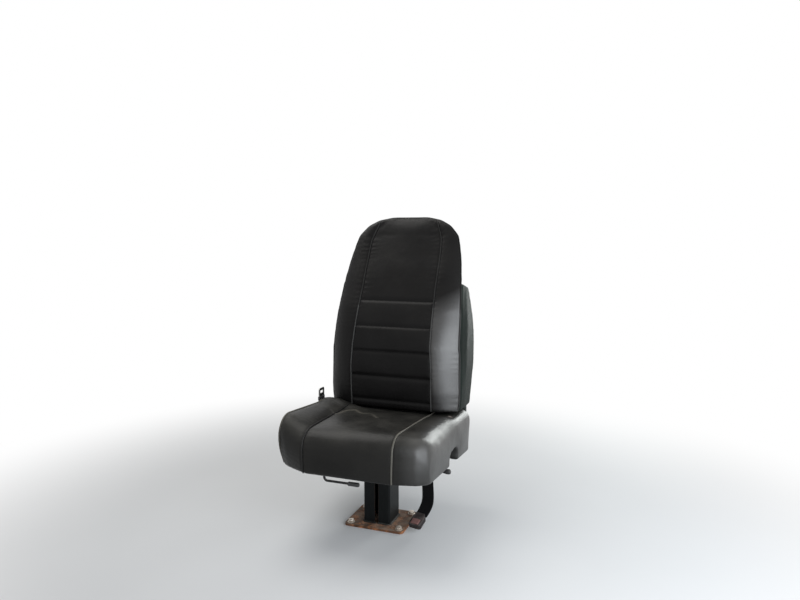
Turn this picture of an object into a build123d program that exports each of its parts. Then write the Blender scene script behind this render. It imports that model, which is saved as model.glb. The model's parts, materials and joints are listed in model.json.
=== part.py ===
from build123d import *
import math
import os

# High-back vehicle attendant seat on a square floor pedestal, in millimetres.
# Origin: centre of the floor plate's underside. +Z is up. The occupant faces -Y with
# +X on the left-hand side, so left and right in names are the occupant's.

# Floor plate
PLATE_WIDTH = 225.0
PLATE_DEPTH = 180.0
PLATE_THICK = 8.0
PLATE_CORNER = 15.0
FLOOR_BOLT_HOLE = 13.0
FLOOR_BOLT_INSET = 20.0

# Pedestal of two channels, toe to toe
COLUMN_WIDTH = 101.6
COLUMN_SLOT = 13.0
COLUMN_WALL = 4.0
COLUMN_CORNER = 7.0
COLUMN_HEIGHT = 223.0
CAP_WIDTH = 180.0
CAP_THICK = 6.0
CAP_CORNER = 12.0

# Swivel
SWIVEL_BASE_MARGIN = 4.0
SWIVEL_SHEET = 4.0
RACE_INSET = 6.0
RACE_WALL = 20.0
RACE_HEIGHT = 12.0
RACE_CLEARANCE = 0.3
HUB_FLOOR_GAP = 4.0
SWIVEL_TOP_WIDTH = 252.0
SWIVEL_TOP_DEPTH = 220.0
SWIVEL_TOP_THICK = 6.0

# Fore and aft slide
RAIL_WIDTH = 36.0
RAIL_HEIGHT = 20.0
RAIL_WALL = 3.0
RAIL_LIP = 9.0
RAIL_RUNNING_GAP = 1.0
RAIL_FRONT_OVERHANG = 40.0
RAIL_REAR_OVERHANG = 10.0
RUNNER_FRONT_SETBACK = 45.0
RUNNER_REAR_SETBACK = 15.0
RUNNER_FOOT_THICK = 4.0
RUNNER_FLANGE_THICK = 4.0
RUNNER_STAND = 6.0

# Seat cushion, with heights above the pan's top
CUSHION_HALF_WIDTH = 265.0
CUSHION_REAR = 256.0
CUSHION_REAR_ROUND = 18.0
SKIRT_FRONT = -278.0
SKIRT_FRONT_DROP = 28.0
SKIRT_SLOPE = 0.0948
SKIRT_WALL = 40.0
POCKET_FRONT_WALL = 13.0
WAIST_AHEAD = 216.0
TUCK_AHEAD = 170.0
NOTCH_AHEAD = 170.0
NOTCH_LENGTH = 104.0
NOTCH_TOP_DROP = 4.0
NOTCH_CORNER = 30.0
KNUCKLE_SETBACK = 56.0
KNUCKLE_DROP = 60.0
KNUCKLE_FULLNESS = 0.72
CHIN_FULLNESS = 3.0

# Cushion sections from side to middle: inset from the side, front measured from the
# skirt's front, heights of the front knuckle, the waist, the tuck before the back and the
# rear, and the chin measured from the front. The right bolster stands proud, and the
# left one is sat down.
RIGHT_SECTIONS = [
    (0.0, -6.0, 130.0, 111.0, 88.0, 64.0, 42.0),
    (9.0, -12.0, 154.0, 131.0, 102.0, 82.0, 38.0),
    (33.0, -22.0, 151.0, 130.0, 102.0, 92.0, 30.0),
    (109.0, -41.0, 117.0, 114.0, 99.0, 88.0, 8.0),
]
MIDDLE_SECTION = (CUSHION_HALF_WIDTH, -39.0, 122.0, 105.0, 97.0, 84.0, 2.0)
LEFT_SECTIONS = [
    (0.0, 20.0, 74.0, 70.0, 68.0, 64.0, 12.0),
    (9.0, 8.0, 98.0, 92.0, 90.0, 82.0, 6.0),
    (33.0, -8.0, 114.0, 108.0, 100.0, 92.0, 2.0),
    (109.0, -29.0, 125.0, 102.0, 96.0, 88.0, -4.0),
]

# Pressed pan in the cushion's pocket
PAN_SIDE_CLEARANCE = 14.0
PAN_FRONT_CLEARANCE = 20.0
PAN_REAR_SETBACK = 51.0
PAN_SHEET = 3.0
PAN_RIM = 18.0
PAN_CORNER = 20.0

# Recline hinge
HINGE_BOSS_R = 20.0
HINGE_REAR_CLEARANCE = 9.0
HINGE_DROP = 2.0
HINGE_PIN_R = 8.0
HINGE_PIN_CLEARANCE = 0.3
BRACKET_THICK = 6.0
BRACKET_LENGTH = 292.0
BRACKET_DEPTH = 19.5
SOFT_CLEARANCE = 0.3
ARM_THICK = 6.0
ARM_GAP = 1.0
ARM_WIDTH = 20.0
ARM_TOP_AHEAD = 47.0
ARM_RISE = 330.0

# Back, with heights above the pan's top and depths behind the hinge
BACK_HALF_WIDTH = 262.0
PANEL_HALF_WIDTH = 160.0
BOLSTER_BULGE = 9.0
PAD_REAR_TAPER = 24.0

# Back pad sections from bottom to top: height, inset of the side, inset of the centre
# panel's piping, front of the panel, front of the side, rear
BACK_SECTIONS = [
    (106.0, 4.0, 0.0, -193.0, -151.0, -95.0),
    (178.0, 0.0, 0.0, -199.0, -151.0, -95.0),
    (268.0, 2.0, 3.0, -201.0, -148.0, -95.0),
    (348.0, 4.0, 6.0, -197.0, -145.0, -91.0),
    (418.0, 7.0, 8.0, -174.0, -129.0, -73.0),
    (483.0, 11.0, 9.0, -147.0, -109.0, -45.0),
    (572.0, 19.0, 11.0, -103.0, -74.0, -2.0),
    (608.0, 23.0, 12.0, -85.0, -59.0, 15.0),
    (674.0, 32.0, 14.0, -49.0, -29.0, 47.0),
    (759.0, 52.0, 20.0, -7.0, 5.0, 81.0),
    (799.0, 90.0, 42.0, 9.0, 18.0, 89.0),
    (820.0, 130.0, 68.0, 21.0, 29.0, 83.0),
    (831.0, 186.0, 110.0, 35.0, 40.0, 69.0),
]

# Rear boxing on the lower pad sections: how far it stands out at the side, its depth
# behind the pad, and the depth of its corners. Its sides reach forward to the pad's edge.
SHELL_SECTIONS = [
    (2.0, 108.0, 30.0),
    (6.0, 126.0, 34.0),
    (10.0, 144.0, 38.0),
    (10.0, 142.0, 38.0),
    (8.0, 120.0, 34.0),
    (0.0, 84.0, 28.0),
    (-14.0, 28.0, 12.0),
]
SIDE_TIP_BEHIND = 3.0
SIDE_TIP_OUT = 1.5
SIDE_FLARE = 45.0
SHELL_WALL = 5.0
APRON_DROP = 68.0
APRON_SIDE_INSET = 16.0
APRON_CLEARANCE = 6.0
APRON_CORNER = 8.0

# Controls
RELEASE_ROD_R = 4.0
RELEASE_BEND_R = 12.0
RELEASE_RIM_GAP = 1.5
RELEASE_AHEAD = 7.0
RELEASE_DROP = 38.5
GRIP_R = 8.0
GRIP_LENGTH = 40.0
GRIP_ROUND = 3.0
LEVER_ROD_R = 4.0
LEVER_BEND_R = 16.0
LEVER_FLAT_RUN = 30.0
LEVER_REACH = 178.0
LEVER_DROP = 88.0
KNOB_R = 10.0
KNOB_LENGTH = 34.0
KNOB_ROUND = 3.0
KNOB_DROP = 4.0

# Lap belt, buckle half
WEBBING_WIDTH = 48.0
WEBBING_THICK = 2.5
ANCHOR_IN = 41.0
ANCHOR_BEHIND = 17.0
ANCHOR_PLATE = 4.0
ANCHOR_DEPTH = 34.0
ANCHOR_DROP = 30.0
BUCKLE_IN = 13.0
BUCKLE_FORWARD = 58.0
BUCKLE_RISE = 41.0
BUCKLE_TILT = 65.0
BUCKLE_LENGTH = 60.0
BUCKLE_THICK = 20.0
BUCKLE_WIDTH = 48.0
BUTTON_LENGTH = 22.0
BUTTON_WIDTH = 30.0
BUTTON_PROUD = 3.0
BUTTON_FROM_CENTRE = 13.0
STRAP_FIRST_RUN = 54.0
STRAP_LAST_RUN = 25.0
STRAP_BEND_R = 45.0

# Lap belt, tongue half
RETRACTOR_GAP = 7.0
RETRACTOR_THICK = 38.0
RETRACTOR_LENGTH = 75.0
RETRACTOR_AHEAD = 31.0
RETRACTOR_DROP = 30.0
RETRACTOR_HEIGHT = 83.0
RETRACTOR_ROUND = 10.0
CARRIER_SHORT = 15.0
CARRIER_DEPTH = 40.0
CARRIER_CLEARANCE = 8.0
SLEEVE_THICK = 8.0
SLEEVE_OUT = 5.0
SLEEVE_RISE = 70.0
SLEEVE_LEAN = 119.0
TONGUE_THICK = 3.0
TONGUE_LENGTH = 46.0
TONGUE_WIDTH = 44.0
TONGUE_ROUND = 8.0
TONGUE_SLOT = 10.0
TONGUE_SLOT_DROP = 15.0

# Heights of the stack on the pedestal
column_top = PLATE_THICK + COLUMN_HEIGHT
swivel_base_z = column_top + CAP_THICK
race_z = swivel_base_z + SWIVEL_SHEET
swivel_top_z = race_z + RACE_HEIGHT
lower_rail_z = swivel_top_z + SWIVEL_TOP_THICK
runner_foot_z = lower_rail_z + RAIL_WALL
runner_flange_z = lower_rail_z + RAIL_HEIGHT + RUNNER_STAND
pan_under = runner_flange_z + RUNNER_FLANGE_THICK
pan_top = pan_under + PAN_SHEET
pan_rim_z = pan_top - PAN_RIM

# Places of the pan, the rails and the hinge
pocket_half = CUSHION_HALF_WIDTH - SKIRT_WALL
pocket_front = SKIRT_FRONT + POCKET_FRONT_WALL
bracket_outer_x = pocket_half - PAN_SIDE_CLEARANCE
pan_half = bracket_outer_x - BRACKET_THICK
pan_front = pocket_front + PAN_FRONT_CLEARANCE
pan_rear = CUSHION_REAR - PAN_REAR_SETBACK
pan_depth = pan_rear - pan_front
rail_spacing = SWIVEL_TOP_WIDTH - RAIL_WIDTH
lower_rail_front = -SWIVEL_TOP_DEPTH / 2 - RAIL_FRONT_OVERHANG
lower_rail_rear = SWIVEL_TOP_DEPTH / 2 + RAIL_REAR_OVERHANG
upper_rail_front = pan_front + RUNNER_FRONT_SETBACK
upper_rail_rear = pan_rear - RUNNER_REAR_SETBACK
hinge_y = CUSHION_REAR + HINGE_BOSS_R + HINGE_REAR_CLEARANCE
hinge_z = pan_top - HINGE_DROP
bracket_top = pan_top - SOFT_CLEARANCE
bracket_front = hinge_y - BRACKET_LENGTH
bracket_under = bracket_top - BRACKET_DEPTH

SIDES = [(1, "left"), (-1, "right")]
os.makedirs("parts", exist_ok=True)


def skirt_z(y):
    """Height of the cushion skirt's lower edge, which falls towards the rear."""
    return pan_top - SKIRT_FRONT_DROP - (y - SKIRT_FRONT) * SKIRT_SLOPE


# Floor plate with its four bolt holes
bolt_spacing_x = PLATE_WIDTH - 2 * FLOOR_BOLT_INSET
bolt_spacing_y = PLATE_DEPTH - 2 * FLOOR_BOLT_INSET
with BuildPart() as floor_plate:
    with BuildSketch():
        RectangleRounded(PLATE_WIDTH, PLATE_DEPTH, PLATE_CORNER)
        with GridLocations(bolt_spacing_x, bolt_spacing_y, 2, 2):
            Circle(FLOOR_BOLT_HOLE / 2, mode=Mode.SUBTRACT)
    extrude(amount=PLATE_THICK)
floor_plate.part.label = "floor_plate"
export_step(floor_plate.part, "parts/floor_plate.step")

# Pedestal: two folded channels whose toes leave a slot at the front and the back
column_inner = COLUMN_WIDTH - 2 * COLUMN_WALL
for side, side_name in SIDES:
    with BuildPart() as channel:
        with BuildSketch(Plane.XY.offset(PLATE_THICK)):
            RectangleRounded(COLUMN_WIDTH, COLUMN_WIDTH, COLUMN_CORNER)
            RectangleRounded(column_inner, column_inner, COLUMN_CORNER - COLUMN_WALL, mode=Mode.SUBTRACT)
            with Locations((-side * (COLUMN_WIDTH - COLUMN_SLOT) / 2, 0)):
                Rectangle(COLUMN_WIDTH, COLUMN_WIDTH, mode=Mode.SUBTRACT)
        extrude(amount=COLUMN_HEIGHT)
    channel.part.label = f"pedestal_{side_name}"
    export_step(channel.part, f"parts/pedestal_{side_name}.step")

with BuildPart() as pedestal_cap:
    with BuildSketch(Plane.XY.offset(column_top)):
        RectangleRounded(CAP_WIDTH, CAP_WIDTH, CAP_CORNER)
    extrude(amount=CAP_THICK)
pedestal_cap.part.label = "pedestal_cap"
export_step(pedestal_cap.part, "parts/pedestal_cap.step")

# Swivel: a race ring on the fixed sheet, and a hub under the turning plate
swivel_base_width = CAP_WIDTH - 2 * SWIVEL_BASE_MARGIN
race_outer_r = swivel_base_width / 2 - RACE_INSET
race_inner_r = race_outer_r - RACE_WALL
with BuildPart() as swivel_base:
    with BuildSketch(Plane.XY.offset(swivel_base_z)):
        RectangleRounded(swivel_base_width, swivel_base_width, CAP_CORNER)
    extrude(amount=SWIVEL_SHEET)
    with BuildSketch(Plane.XY.offset(race_z)):
        Circle(race_outer_r)
        Circle(race_inner_r, mode=Mode.SUBTRACT)
    extrude(amount=RACE_HEIGHT)
swivel_base.part.label = "swivel_base"
export_step(swivel_base.part, "parts/swivel_base.step")

with BuildPart() as swivel_top:
    with BuildSketch(Plane.XY.offset(swivel_top_z)):
        RectangleRounded(SWIVEL_TOP_WIDTH, SWIVEL_TOP_DEPTH, CAP_CORNER)
    extrude(amount=SWIVEL_TOP_THICK)
    with BuildSketch(Plane.XY.offset(race_z + HUB_FLOOR_GAP)):
        Circle(race_inner_r - RACE_CLEARANCE)
    extrude(amount=RACE_HEIGHT - HUB_FLOOR_GAP)
swivel_top.part.label = "swivel_top"
export_step(swivel_top.part, "parts/swivel_top.step")

# Slide rails: a lipped channel below, and a runner whose foot rides inside it
channel_width = RAIL_WIDTH - 2 * RAIL_WALL
lip_slot = channel_width - 2 * RAIL_LIP
for side, side_name in SIDES:
    rail_x = side * rail_spacing / 2
    with BuildPart() as lower_rail:
        with BuildSketch(Plane.XZ.offset(-lower_rail_rear)):
            with Locations((rail_x, lower_rail_z)):
                Rectangle(RAIL_WIDTH, RAIL_HEIGHT, align=(Align.CENTER, Align.MIN))
            with Locations((rail_x, runner_foot_z)):
                Rectangle(
                    channel_width,
                    RAIL_HEIGHT - 2 * RAIL_WALL,
                    align=(Align.CENTER, Align.MIN),
                    mode=Mode.SUBTRACT,
                )
                Rectangle(lip_slot, RAIL_HEIGHT, align=(Align.CENTER, Align.MIN), mode=Mode.SUBTRACT)
        extrude(amount=lower_rail_rear - lower_rail_front)
    lower_rail.part.label = f"lower_rail_{side_name}"
    export_step(lower_rail.part, f"parts/lower_rail_{side_name}.step")

    with BuildPart() as upper_rail:
        with BuildSketch(Plane.XZ.offset(-upper_rail_rear)):
            with Locations((rail_x, runner_foot_z)):
                Rectangle(
                    channel_width - 2 * RAIL_RUNNING_GAP,
                    RUNNER_FOOT_THICK,
                    align=(Align.CENTER, Align.MIN),
                )
                Rectangle(
                    lip_slot - 2 * RAIL_RUNNING_GAP,
                    runner_flange_z - runner_foot_z,
                    align=(Align.CENTER, Align.MIN),
                )
            with Locations((rail_x, runner_flange_z)):
                Rectangle(RAIL_WIDTH, RUNNER_FLANGE_THICK, align=(Align.CENTER, Align.MIN))
        extrude(amount=upper_rail_rear - upper_rail_front)
    upper_rail.part.label = f"upper_rail_{side_name}"
    export_step(upper_rail.part, f"parts/upper_rail_{side_name}.step")

# Pressed pan: a sheet with a rim turned down all round
with BuildPart() as seat_pan:
    with BuildSketch(Plane.XY.offset(pan_rim_z)):
        with Locations((0, pan_front + pan_depth / 2)):
            RectangleRounded(2 * pan_half, pan_depth, PAN_CORNER)
    extrude(amount=PAN_RIM)
    with BuildSketch(Plane.XY.offset(pan_rim_z)):
        with Locations((0, pan_front + pan_depth / 2)):
            RectangleRounded(
                2 * (pan_half - PAN_SHEET),
                pan_depth - 2 * PAN_SHEET,
                PAN_CORNER - PAN_SHEET,
            )
    extrude(amount=PAN_RIM - PAN_SHEET, mode=Mode.SUBTRACT)
seat_pan.part.label = "seat_pan"
export_step(seat_pan.part, "parts/seat_pan.step")

# Seat cushion: sections across the width, a pocket over the pan that is open at the
# rear, and a notch in the left skirt for the recline lever
right_half = [(inset - CUSHION_HALF_WIDTH, *rest) for inset, *rest in RIGHT_SECTIONS]
middle_on = [MIDDLE_SECTION, *reversed(LEFT_SECTIONS)]
left_half = [(CUSHION_HALF_WIDTH - inset, *rest) for inset, *rest in middle_on]
pocket_sketch_rear = CUSHION_REAR + POCKET_FRONT_WALL
notch_rear = CUSHION_REAR - NOTCH_AHEAD
notch_front = notch_rear - NOTCH_LENGTH
notch_top = pan_top - NOTCH_TOP_DROP
with BuildPart() as seat_cushion:
    for x, ahead, knuckle_rise, waist_rise, tuck_rise, rear_rise, chin_back in right_half + left_half:
        front = SKIRT_FRONT + ahead
        knuckle = (front + KNUCKLE_SETBACK, pan_top + knuckle_rise)
        nose = (front, knuckle[1] - KNUCKLE_DROP)
        chin = (front + chin_back, skirt_z(front + chin_back))
        heel = (CUSHION_REAR, skirt_z(CUSHION_REAR))
        rear_edge = (CUSHION_REAR, pan_top + rear_rise - CUSHION_REAR_ROUND)
        rear_top = (CUSHION_REAR - CUSHION_REAR_ROUND, pan_top + rear_rise)
        tuck = (CUSHION_REAR - TUCK_AHEAD, pan_top + tuck_rise)
        waist = (CUSHION_REAR - WAIST_AHEAD, pan_top + waist_rise)
        with BuildSketch(Plane.YZ.offset(x)):
            with BuildLine():
                Line(heel, rear_edge)
                RadiusArc(rear_edge, rear_top, -CUSHION_REAR_ROUND)
                Polyline(rear_top, tuck, waist, knuckle)
                RadiusArc(knuckle, nose, -math.dist(knuckle, nose) * KNUCKLE_FULLNESS)
                RadiusArc(nose, chin, -math.dist(nose, chin) * CHIN_FULLNESS)
                Line(chin, heel)
            make_face()
    loft(ruled=True)
    with BuildSketch(Plane.YZ.offset(-pocket_half)):
        with BuildLine():
            Polyline(
                (pocket_front, 0),
                (pocket_front, pan_top),
                (pocket_sketch_rear, pan_top),
                (pocket_sketch_rear, 0),
                close=True,
            )
        make_face()
    extrude(amount=2 * pocket_half, mode=Mode.SUBTRACT)
    with BuildSketch(Plane.YZ.offset(pocket_half)):
        with BuildLine():
            FilletPolyline(
                (notch_front, 0),
                (notch_front, notch_top),
                (notch_rear, notch_top),
                (notch_rear, 0),
                radius=NOTCH_CORNER,
            )
            Line((notch_rear, 0), (notch_front, 0))
        make_face()
    extrude(amount=SKIRT_WALL, mode=Mode.SUBTRACT)
seat_cushion.part.label = "seat_cushion"
export_step(seat_cushion.part, "parts/seat_cushion.step")

# Hinge brackets beside the pan, each with its pivot pin, and the arms of the back
hinge = (hinge_y, hinge_z)
arm_run = math.hypot(ARM_TOP_AHEAD, ARM_RISE)
arm_turn = 90 + math.degrees(math.atan2(ARM_TOP_AHEAD, ARM_RISE))
arm_middle = (hinge_y - ARM_TOP_AHEAD / 2, hinge_z + ARM_RISE / 2)
arm_outer_x = pan_half - ARM_GAP
for side, side_name in SIDES:
    with BuildPart() as hinge_bracket:
        with BuildSketch(Plane.YZ.offset(side * pan_half)):
            with BuildLine():
                Polyline(
                    (bracket_front, bracket_under),
                    (bracket_front, bracket_top),
                    (hinge_y, bracket_top),
                    (hinge_y, bracket_under),
                    close=True,
                )
            make_face()
            with Locations(hinge):
                Circle(HINGE_BOSS_R)
        extrude(amount=side * BRACKET_THICK)
        with BuildSketch(Plane.YZ.offset(side * pan_half)):
            with Locations(hinge):
                Circle(HINGE_PIN_R)
        extrude(amount=-side * (ARM_GAP + ARM_THICK))
    hinge_bracket.part.label = f"hinge_bracket_{side_name}"
    export_step(hinge_bracket.part, f"parts/hinge_bracket_{side_name}.step")

    with BuildPart() as back_arm:
        with BuildSketch(Plane.YZ.offset(side * arm_outer_x)):
            with Locations(hinge):
                Circle(HINGE_BOSS_R)
            with Locations(arm_middle):
                SlotCenterToCenter(arm_run, ARM_WIDTH, rotation=arm_turn)
            with Locations(hinge):
                Circle(HINGE_PIN_R + HINGE_PIN_CLEARANCE, mode=Mode.SUBTRACT)
        extrude(amount=-side * ARM_THICK)
    back_arm.part.label = f"back_arm_{side_name}"
    export_step(back_arm.part, f"parts/back_arm_{side_name}.step")

# Back pad: level sections with a flat centre panel between two rounded bolsters
with BuildPart() as back_cushion:
    for height, side_inset, panel_inset, front_depth, edge_depth, rear_depth in BACK_SECTIONS:
        half = BACK_HALF_WIDTH - side_inset
        panel = PANEL_HALF_WIDTH - panel_inset
        front = hinge_y + front_depth
        edge = hinge_y + edge_depth
        rear = hinge_y + rear_depth
        rear_half = half - PAD_REAR_TAPER
        chord = math.dist((half, edge), (panel, front))
        bulge_x = (half + panel) / 2 + (edge - front) / chord * BOLSTER_BULGE
        bulge_y = (edge + front) / 2 - (half - panel) / chord * BOLSTER_BULGE
        with BuildSketch(Plane.XY.offset(pan_top + height)):
            with BuildLine():
                Polyline((half, edge), (rear_half, rear), (-rear_half, rear), (-half, edge))
                ThreePointArc((-half, edge), (-bulge_x, bulge_y), (-panel, front))
                Line((-panel, front), (panel, front))
                ThreePointArc((panel, front), (bulge_x, bulge_y), (half, edge))
            make_face()
    loft(ruled=True)
back_cushion.part.label = "back_cushion"
export_step(back_cushion.part, "parts/back_cushion.step")

# Rear boxing: a hollow shell behind the pad, with an apron that hangs down behind the
# cushion and takes the arms
back_bottom = pan_top + BACK_SECTIONS[0][0]
apron_bottom = back_bottom - APRON_DROP
apron_half = BACK_HALF_WIDTH - APRON_SIDE_INSET
apron_front = CUSHION_REAR + APRON_CLEARANCE
apron_rear = hinge_y + BACK_SECTIONS[0][5] + SHELL_SECTIONS[0][1]
shell_rows = []
for pad, (stand_out, depth, corner) in zip(BACK_SECTIONS, SHELL_SECTIONS):
    pad_half = BACK_HALF_WIDTH - pad[1]
    shell_half = BACK_HALF_WIDTH + stand_out
    pad_edge, pad_rear = hinge_y + pad[4], hinge_y + pad[5]
    shell_rows.append((pan_top + pad[0], pad_half, pad_edge, pad_rear, shell_half, depth, corner))
inner_heights = [row[0] for row in shell_rows]
inner_heights[0] += SHELL_WALL
inner_heights[-1] -= SHELL_WALL
with BuildPart() as back_shell:
    for z, pad_half, pad_edge, pad_rear, half, depth, corner in shell_rows:
        rear = pad_rear + depth
        tip = pad_edge + SIDE_TIP_BEHIND
        tip_outer = pad_half + SIDE_TIP_OUT
        tip_taper = PAD_REAR_TAPER * SIDE_TIP_BEHIND / (pad_rear - pad_edge)
        tip_inner = pad_half + SOFT_CLEARANCE - tip_taper
        root = pad_half + SOFT_CLEARANCE - PAD_REAR_TAPER
        with BuildSketch(Plane.XY.offset(z)):
            with BuildLine():
                Polyline(
                    (half - corner, rear),
                    (corner - half, rear),
                    (-half, rear - corner),
                    (-half, tip + SIDE_FLARE),
                    (-tip_outer, tip),
                    (-tip_inner, tip),
                    (-root, pad_rear),
                    (root, pad_rear),
                    (tip_inner, tip),
                    (tip_outer, tip),
                    (half, tip + SIDE_FLARE),
                    (half, rear - corner),
                    close=True,
                )
            make_face()
    loft(ruled=True)
    with BuildSketch(Plane.XY.offset(apron_bottom)):
        with Locations((0, (apron_front + apron_rear) / 2)):
            RectangleRounded(2 * apron_half, apron_rear - apron_front, APRON_CORNER)
    extrude(amount=APRON_DROP)
    for inner_z, (z, pad_half, pad_edge, pad_rear, half, depth, corner) in zip(inner_heights, shell_rows):
        inner_half = pad_half - PAD_REAR_TAPER - SHELL_WALL
        inner_rear = pad_rear + depth - SHELL_WALL
        with BuildSketch(Plane.XY.offset(inner_z)):
            with BuildLine():
                Polyline(
                    (inner_half - corner, inner_rear),
                    (corner - inner_half, inner_rear),
                    (-inner_half, inner_rear - corner),
                    (-inner_half, pad_rear - SHELL_WALL),
                    (inner_half, pad_rear - SHELL_WALL),
                    (inner_half, inner_rear - corner),
                    close=True,
                )
            make_face()
    loft(ruled=True, mode=Mode.SUBTRACT)
    for side, side_name in SIDES:
        with BuildSketch(Plane.YZ.offset(side * (arm_outer_x + SOFT_CLEARANCE))):
            with Locations(hinge):
                Circle(HINGE_BOSS_R + SOFT_CLEARANCE)
            with Locations(arm_middle):
                SlotCenterToCenter(arm_run, ARM_WIDTH + 2 * SOFT_CLEARANCE, rotation=arm_turn)
        extrude(amount=-side * (ARM_THICK + 2 * SOFT_CLEARANCE), mode=Mode.SUBTRACT)
back_shell.part.label = "back_shell"
export_step(back_shell.part, "parts/back_shell.step")

# Slide release: a bent rod from the right-hand runner to a grip under the front edge
release_x = -rail_spacing / 2
release_y = pan_front - RELEASE_AHEAD
release_top = pan_rim_z - RELEASE_RIM_GAP - RELEASE_ROD_R
release_z = release_top - RELEASE_DROP
release_start = (release_x, upper_rail_front, release_top)
with BuildPart() as slide_release:
    with BuildLine():
        FilletPolyline(
            release_start,
            (release_x, release_y, release_top),
            (release_x, release_y, release_z),
            (-GRIP_LENGTH / 2, release_y, release_z),
            radius=RELEASE_BEND_R,
        )
    with BuildSketch(Plane(release_start, z_dir=(0, -1, 0))):
        Circle(RELEASE_ROD_R)
    sweep()
slide_release.part.label = "slide_release"
export_step(slide_release.part, "parts/slide_release.step")

with BuildPart() as release_grip:
    with BuildSketch(Plane.YZ.offset(-GRIP_LENGTH / 2)):
        with Locations((release_y, release_z)):
            Circle(GRIP_R)
    extrude(amount=GRIP_LENGTH)
    fillet(edges().filter_by(GeomType.CIRCLE), GRIP_ROUND)
release_grip.part.label = "release_grip"
export_step(release_grip.part, "parts/release_grip.step")

# Recline lever: a rod from the left-hand bracket, down and forward to a knob
lever_x = bracket_outer_x + LEVER_ROD_R
lever_start = (lever_x, CUSHION_REAR, bracket_top - BRACKET_DEPTH / 2)
lever_end = (lever_x, CUSHION_REAR - LEVER_REACH, lever_start[2] - LEVER_DROP)
with BuildPart() as recline_lever:
    with BuildLine():
        FilletPolyline(
            lever_start,
            (lever_x, CUSHION_REAR - LEVER_FLAT_RUN, lever_start[2]),
            lever_end,
            radius=LEVER_BEND_R,
        )
    with BuildSketch(Plane(lever_start, z_dir=(0, -1, 0))):
        Circle(LEVER_ROD_R)
    sweep()
recline_lever.part.label = "recline_lever"
export_step(recline_lever.part, "parts/recline_lever.step")

with BuildPart() as lever_knob:
    with BuildSketch(Plane.YZ.offset(bracket_outer_x)):
        with Locations((lever_end[1] - KNOB_R, lever_end[2] - KNOB_DROP)):
            Circle(KNOB_R)
    extrude(amount=KNOB_LENGTH)
    fillet(edges().filter_by(GeomType.CIRCLE), KNOB_ROUND)
lever_knob.part.label = "lever_knob"
export_step(lever_knob.part, "parts/lever_knob.step")

# Buckle half of the lap belt, on the left: an anchor plate under the bracket, and a
# strap that hangs down and turns forward to the buckle. The strap's plane runs from
# the buckle to the anchor.
anchor_x = bracket_outer_x - ANCHOR_IN
anchor_y = bracket_front + ANCHOR_BEHIND
belt_run = math.hypot(BUCKLE_IN, BUCKLE_FORWARD)
belt_plane = Plane(
    origin=(anchor_x - BUCKLE_IN, anchor_y - BUCKLE_FORWARD, 0),
    x_dir=(BUCKLE_IN, BUCKLE_FORWARD, 0),
    z_dir=(BUCKLE_FORWARD, -BUCKLE_IN, 0),
)
anchor_under = bracket_under - ANCHOR_DROP
anchor_outer_x = bracket_outer_x + ANCHOR_PLATE
anchor_inner_x = anchor_x - WEBBING_WIDTH / 2
with BuildPart() as belt_anchor:
    with BuildSketch(Plane.XZ.offset(-anchor_y)):
        with BuildLine():
            Polyline(
                (bracket_outer_x, bracket_top),
                (anchor_outer_x, bracket_top),
                (anchor_outer_x, anchor_under),
                (anchor_inner_x, anchor_under),
                (anchor_inner_x, anchor_under + ANCHOR_PLATE),
                (bracket_outer_x, anchor_under + ANCHOR_PLATE),
                close=True,
            )
        make_face()
    extrude(amount=ANCHOR_DEPTH / 2, both=True)
belt_anchor.part.label = "belt_anchor"
export_step(belt_anchor.part, "parts/belt_anchor.step")

tilt = math.radians(BUCKLE_TILT)
buckle_axis = Vector(math.sin(tilt), math.cos(tilt))
buckle_normal = Vector(-math.cos(tilt), math.sin(tilt))
buckle_middle = Vector(0, BUCKLE_RISE)
strap_start = buckle_middle + buckle_axis * (BUCKLE_LENGTH / 2)
with BuildPart() as buckle_strap:
    with BuildSketch(belt_plane):
        with BuildLine():
            FilletPolyline(
                strap_start,
                strap_start + buckle_axis * STRAP_FIRST_RUN,
                (belt_run, anchor_under - STRAP_LAST_RUN),
                (belt_run, anchor_under),
                radius=STRAP_BEND_R,
            )
        trace(line_width=WEBBING_THICK)
    extrude(amount=WEBBING_WIDTH / 2, both=True)
buckle_strap.part.label = "buckle_strap"
export_step(buckle_strap.part, "parts/buckle_strap.step")

with BuildPart() as buckle:
    with BuildSketch(belt_plane):
        with Locations(buckle_middle):
            Rectangle(BUCKLE_THICK, BUCKLE_LENGTH, rotation=-BUCKLE_TILT)
    extrude(amount=BUCKLE_WIDTH / 2, both=True)
buckle.part.label = "buckle"
export_step(buckle.part, "parts/buckle.step")

button_reach = (BUCKLE_THICK + BUTTON_PROUD) / 2
with BuildPart() as buckle_button:
    with BuildSketch(belt_plane):
        with Locations(buckle_middle + buckle_normal * button_reach - buckle_axis * BUTTON_FROM_CENTRE):
            Rectangle(BUTTON_PROUD, BUTTON_LENGTH, rotation=-BUCKLE_TILT)
    extrude(amount=BUTTON_WIDTH / 2, both=True)
buckle_button.part.label = "buckle_button"
export_step(buckle_button.part, "parts/buckle_button.step")

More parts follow.
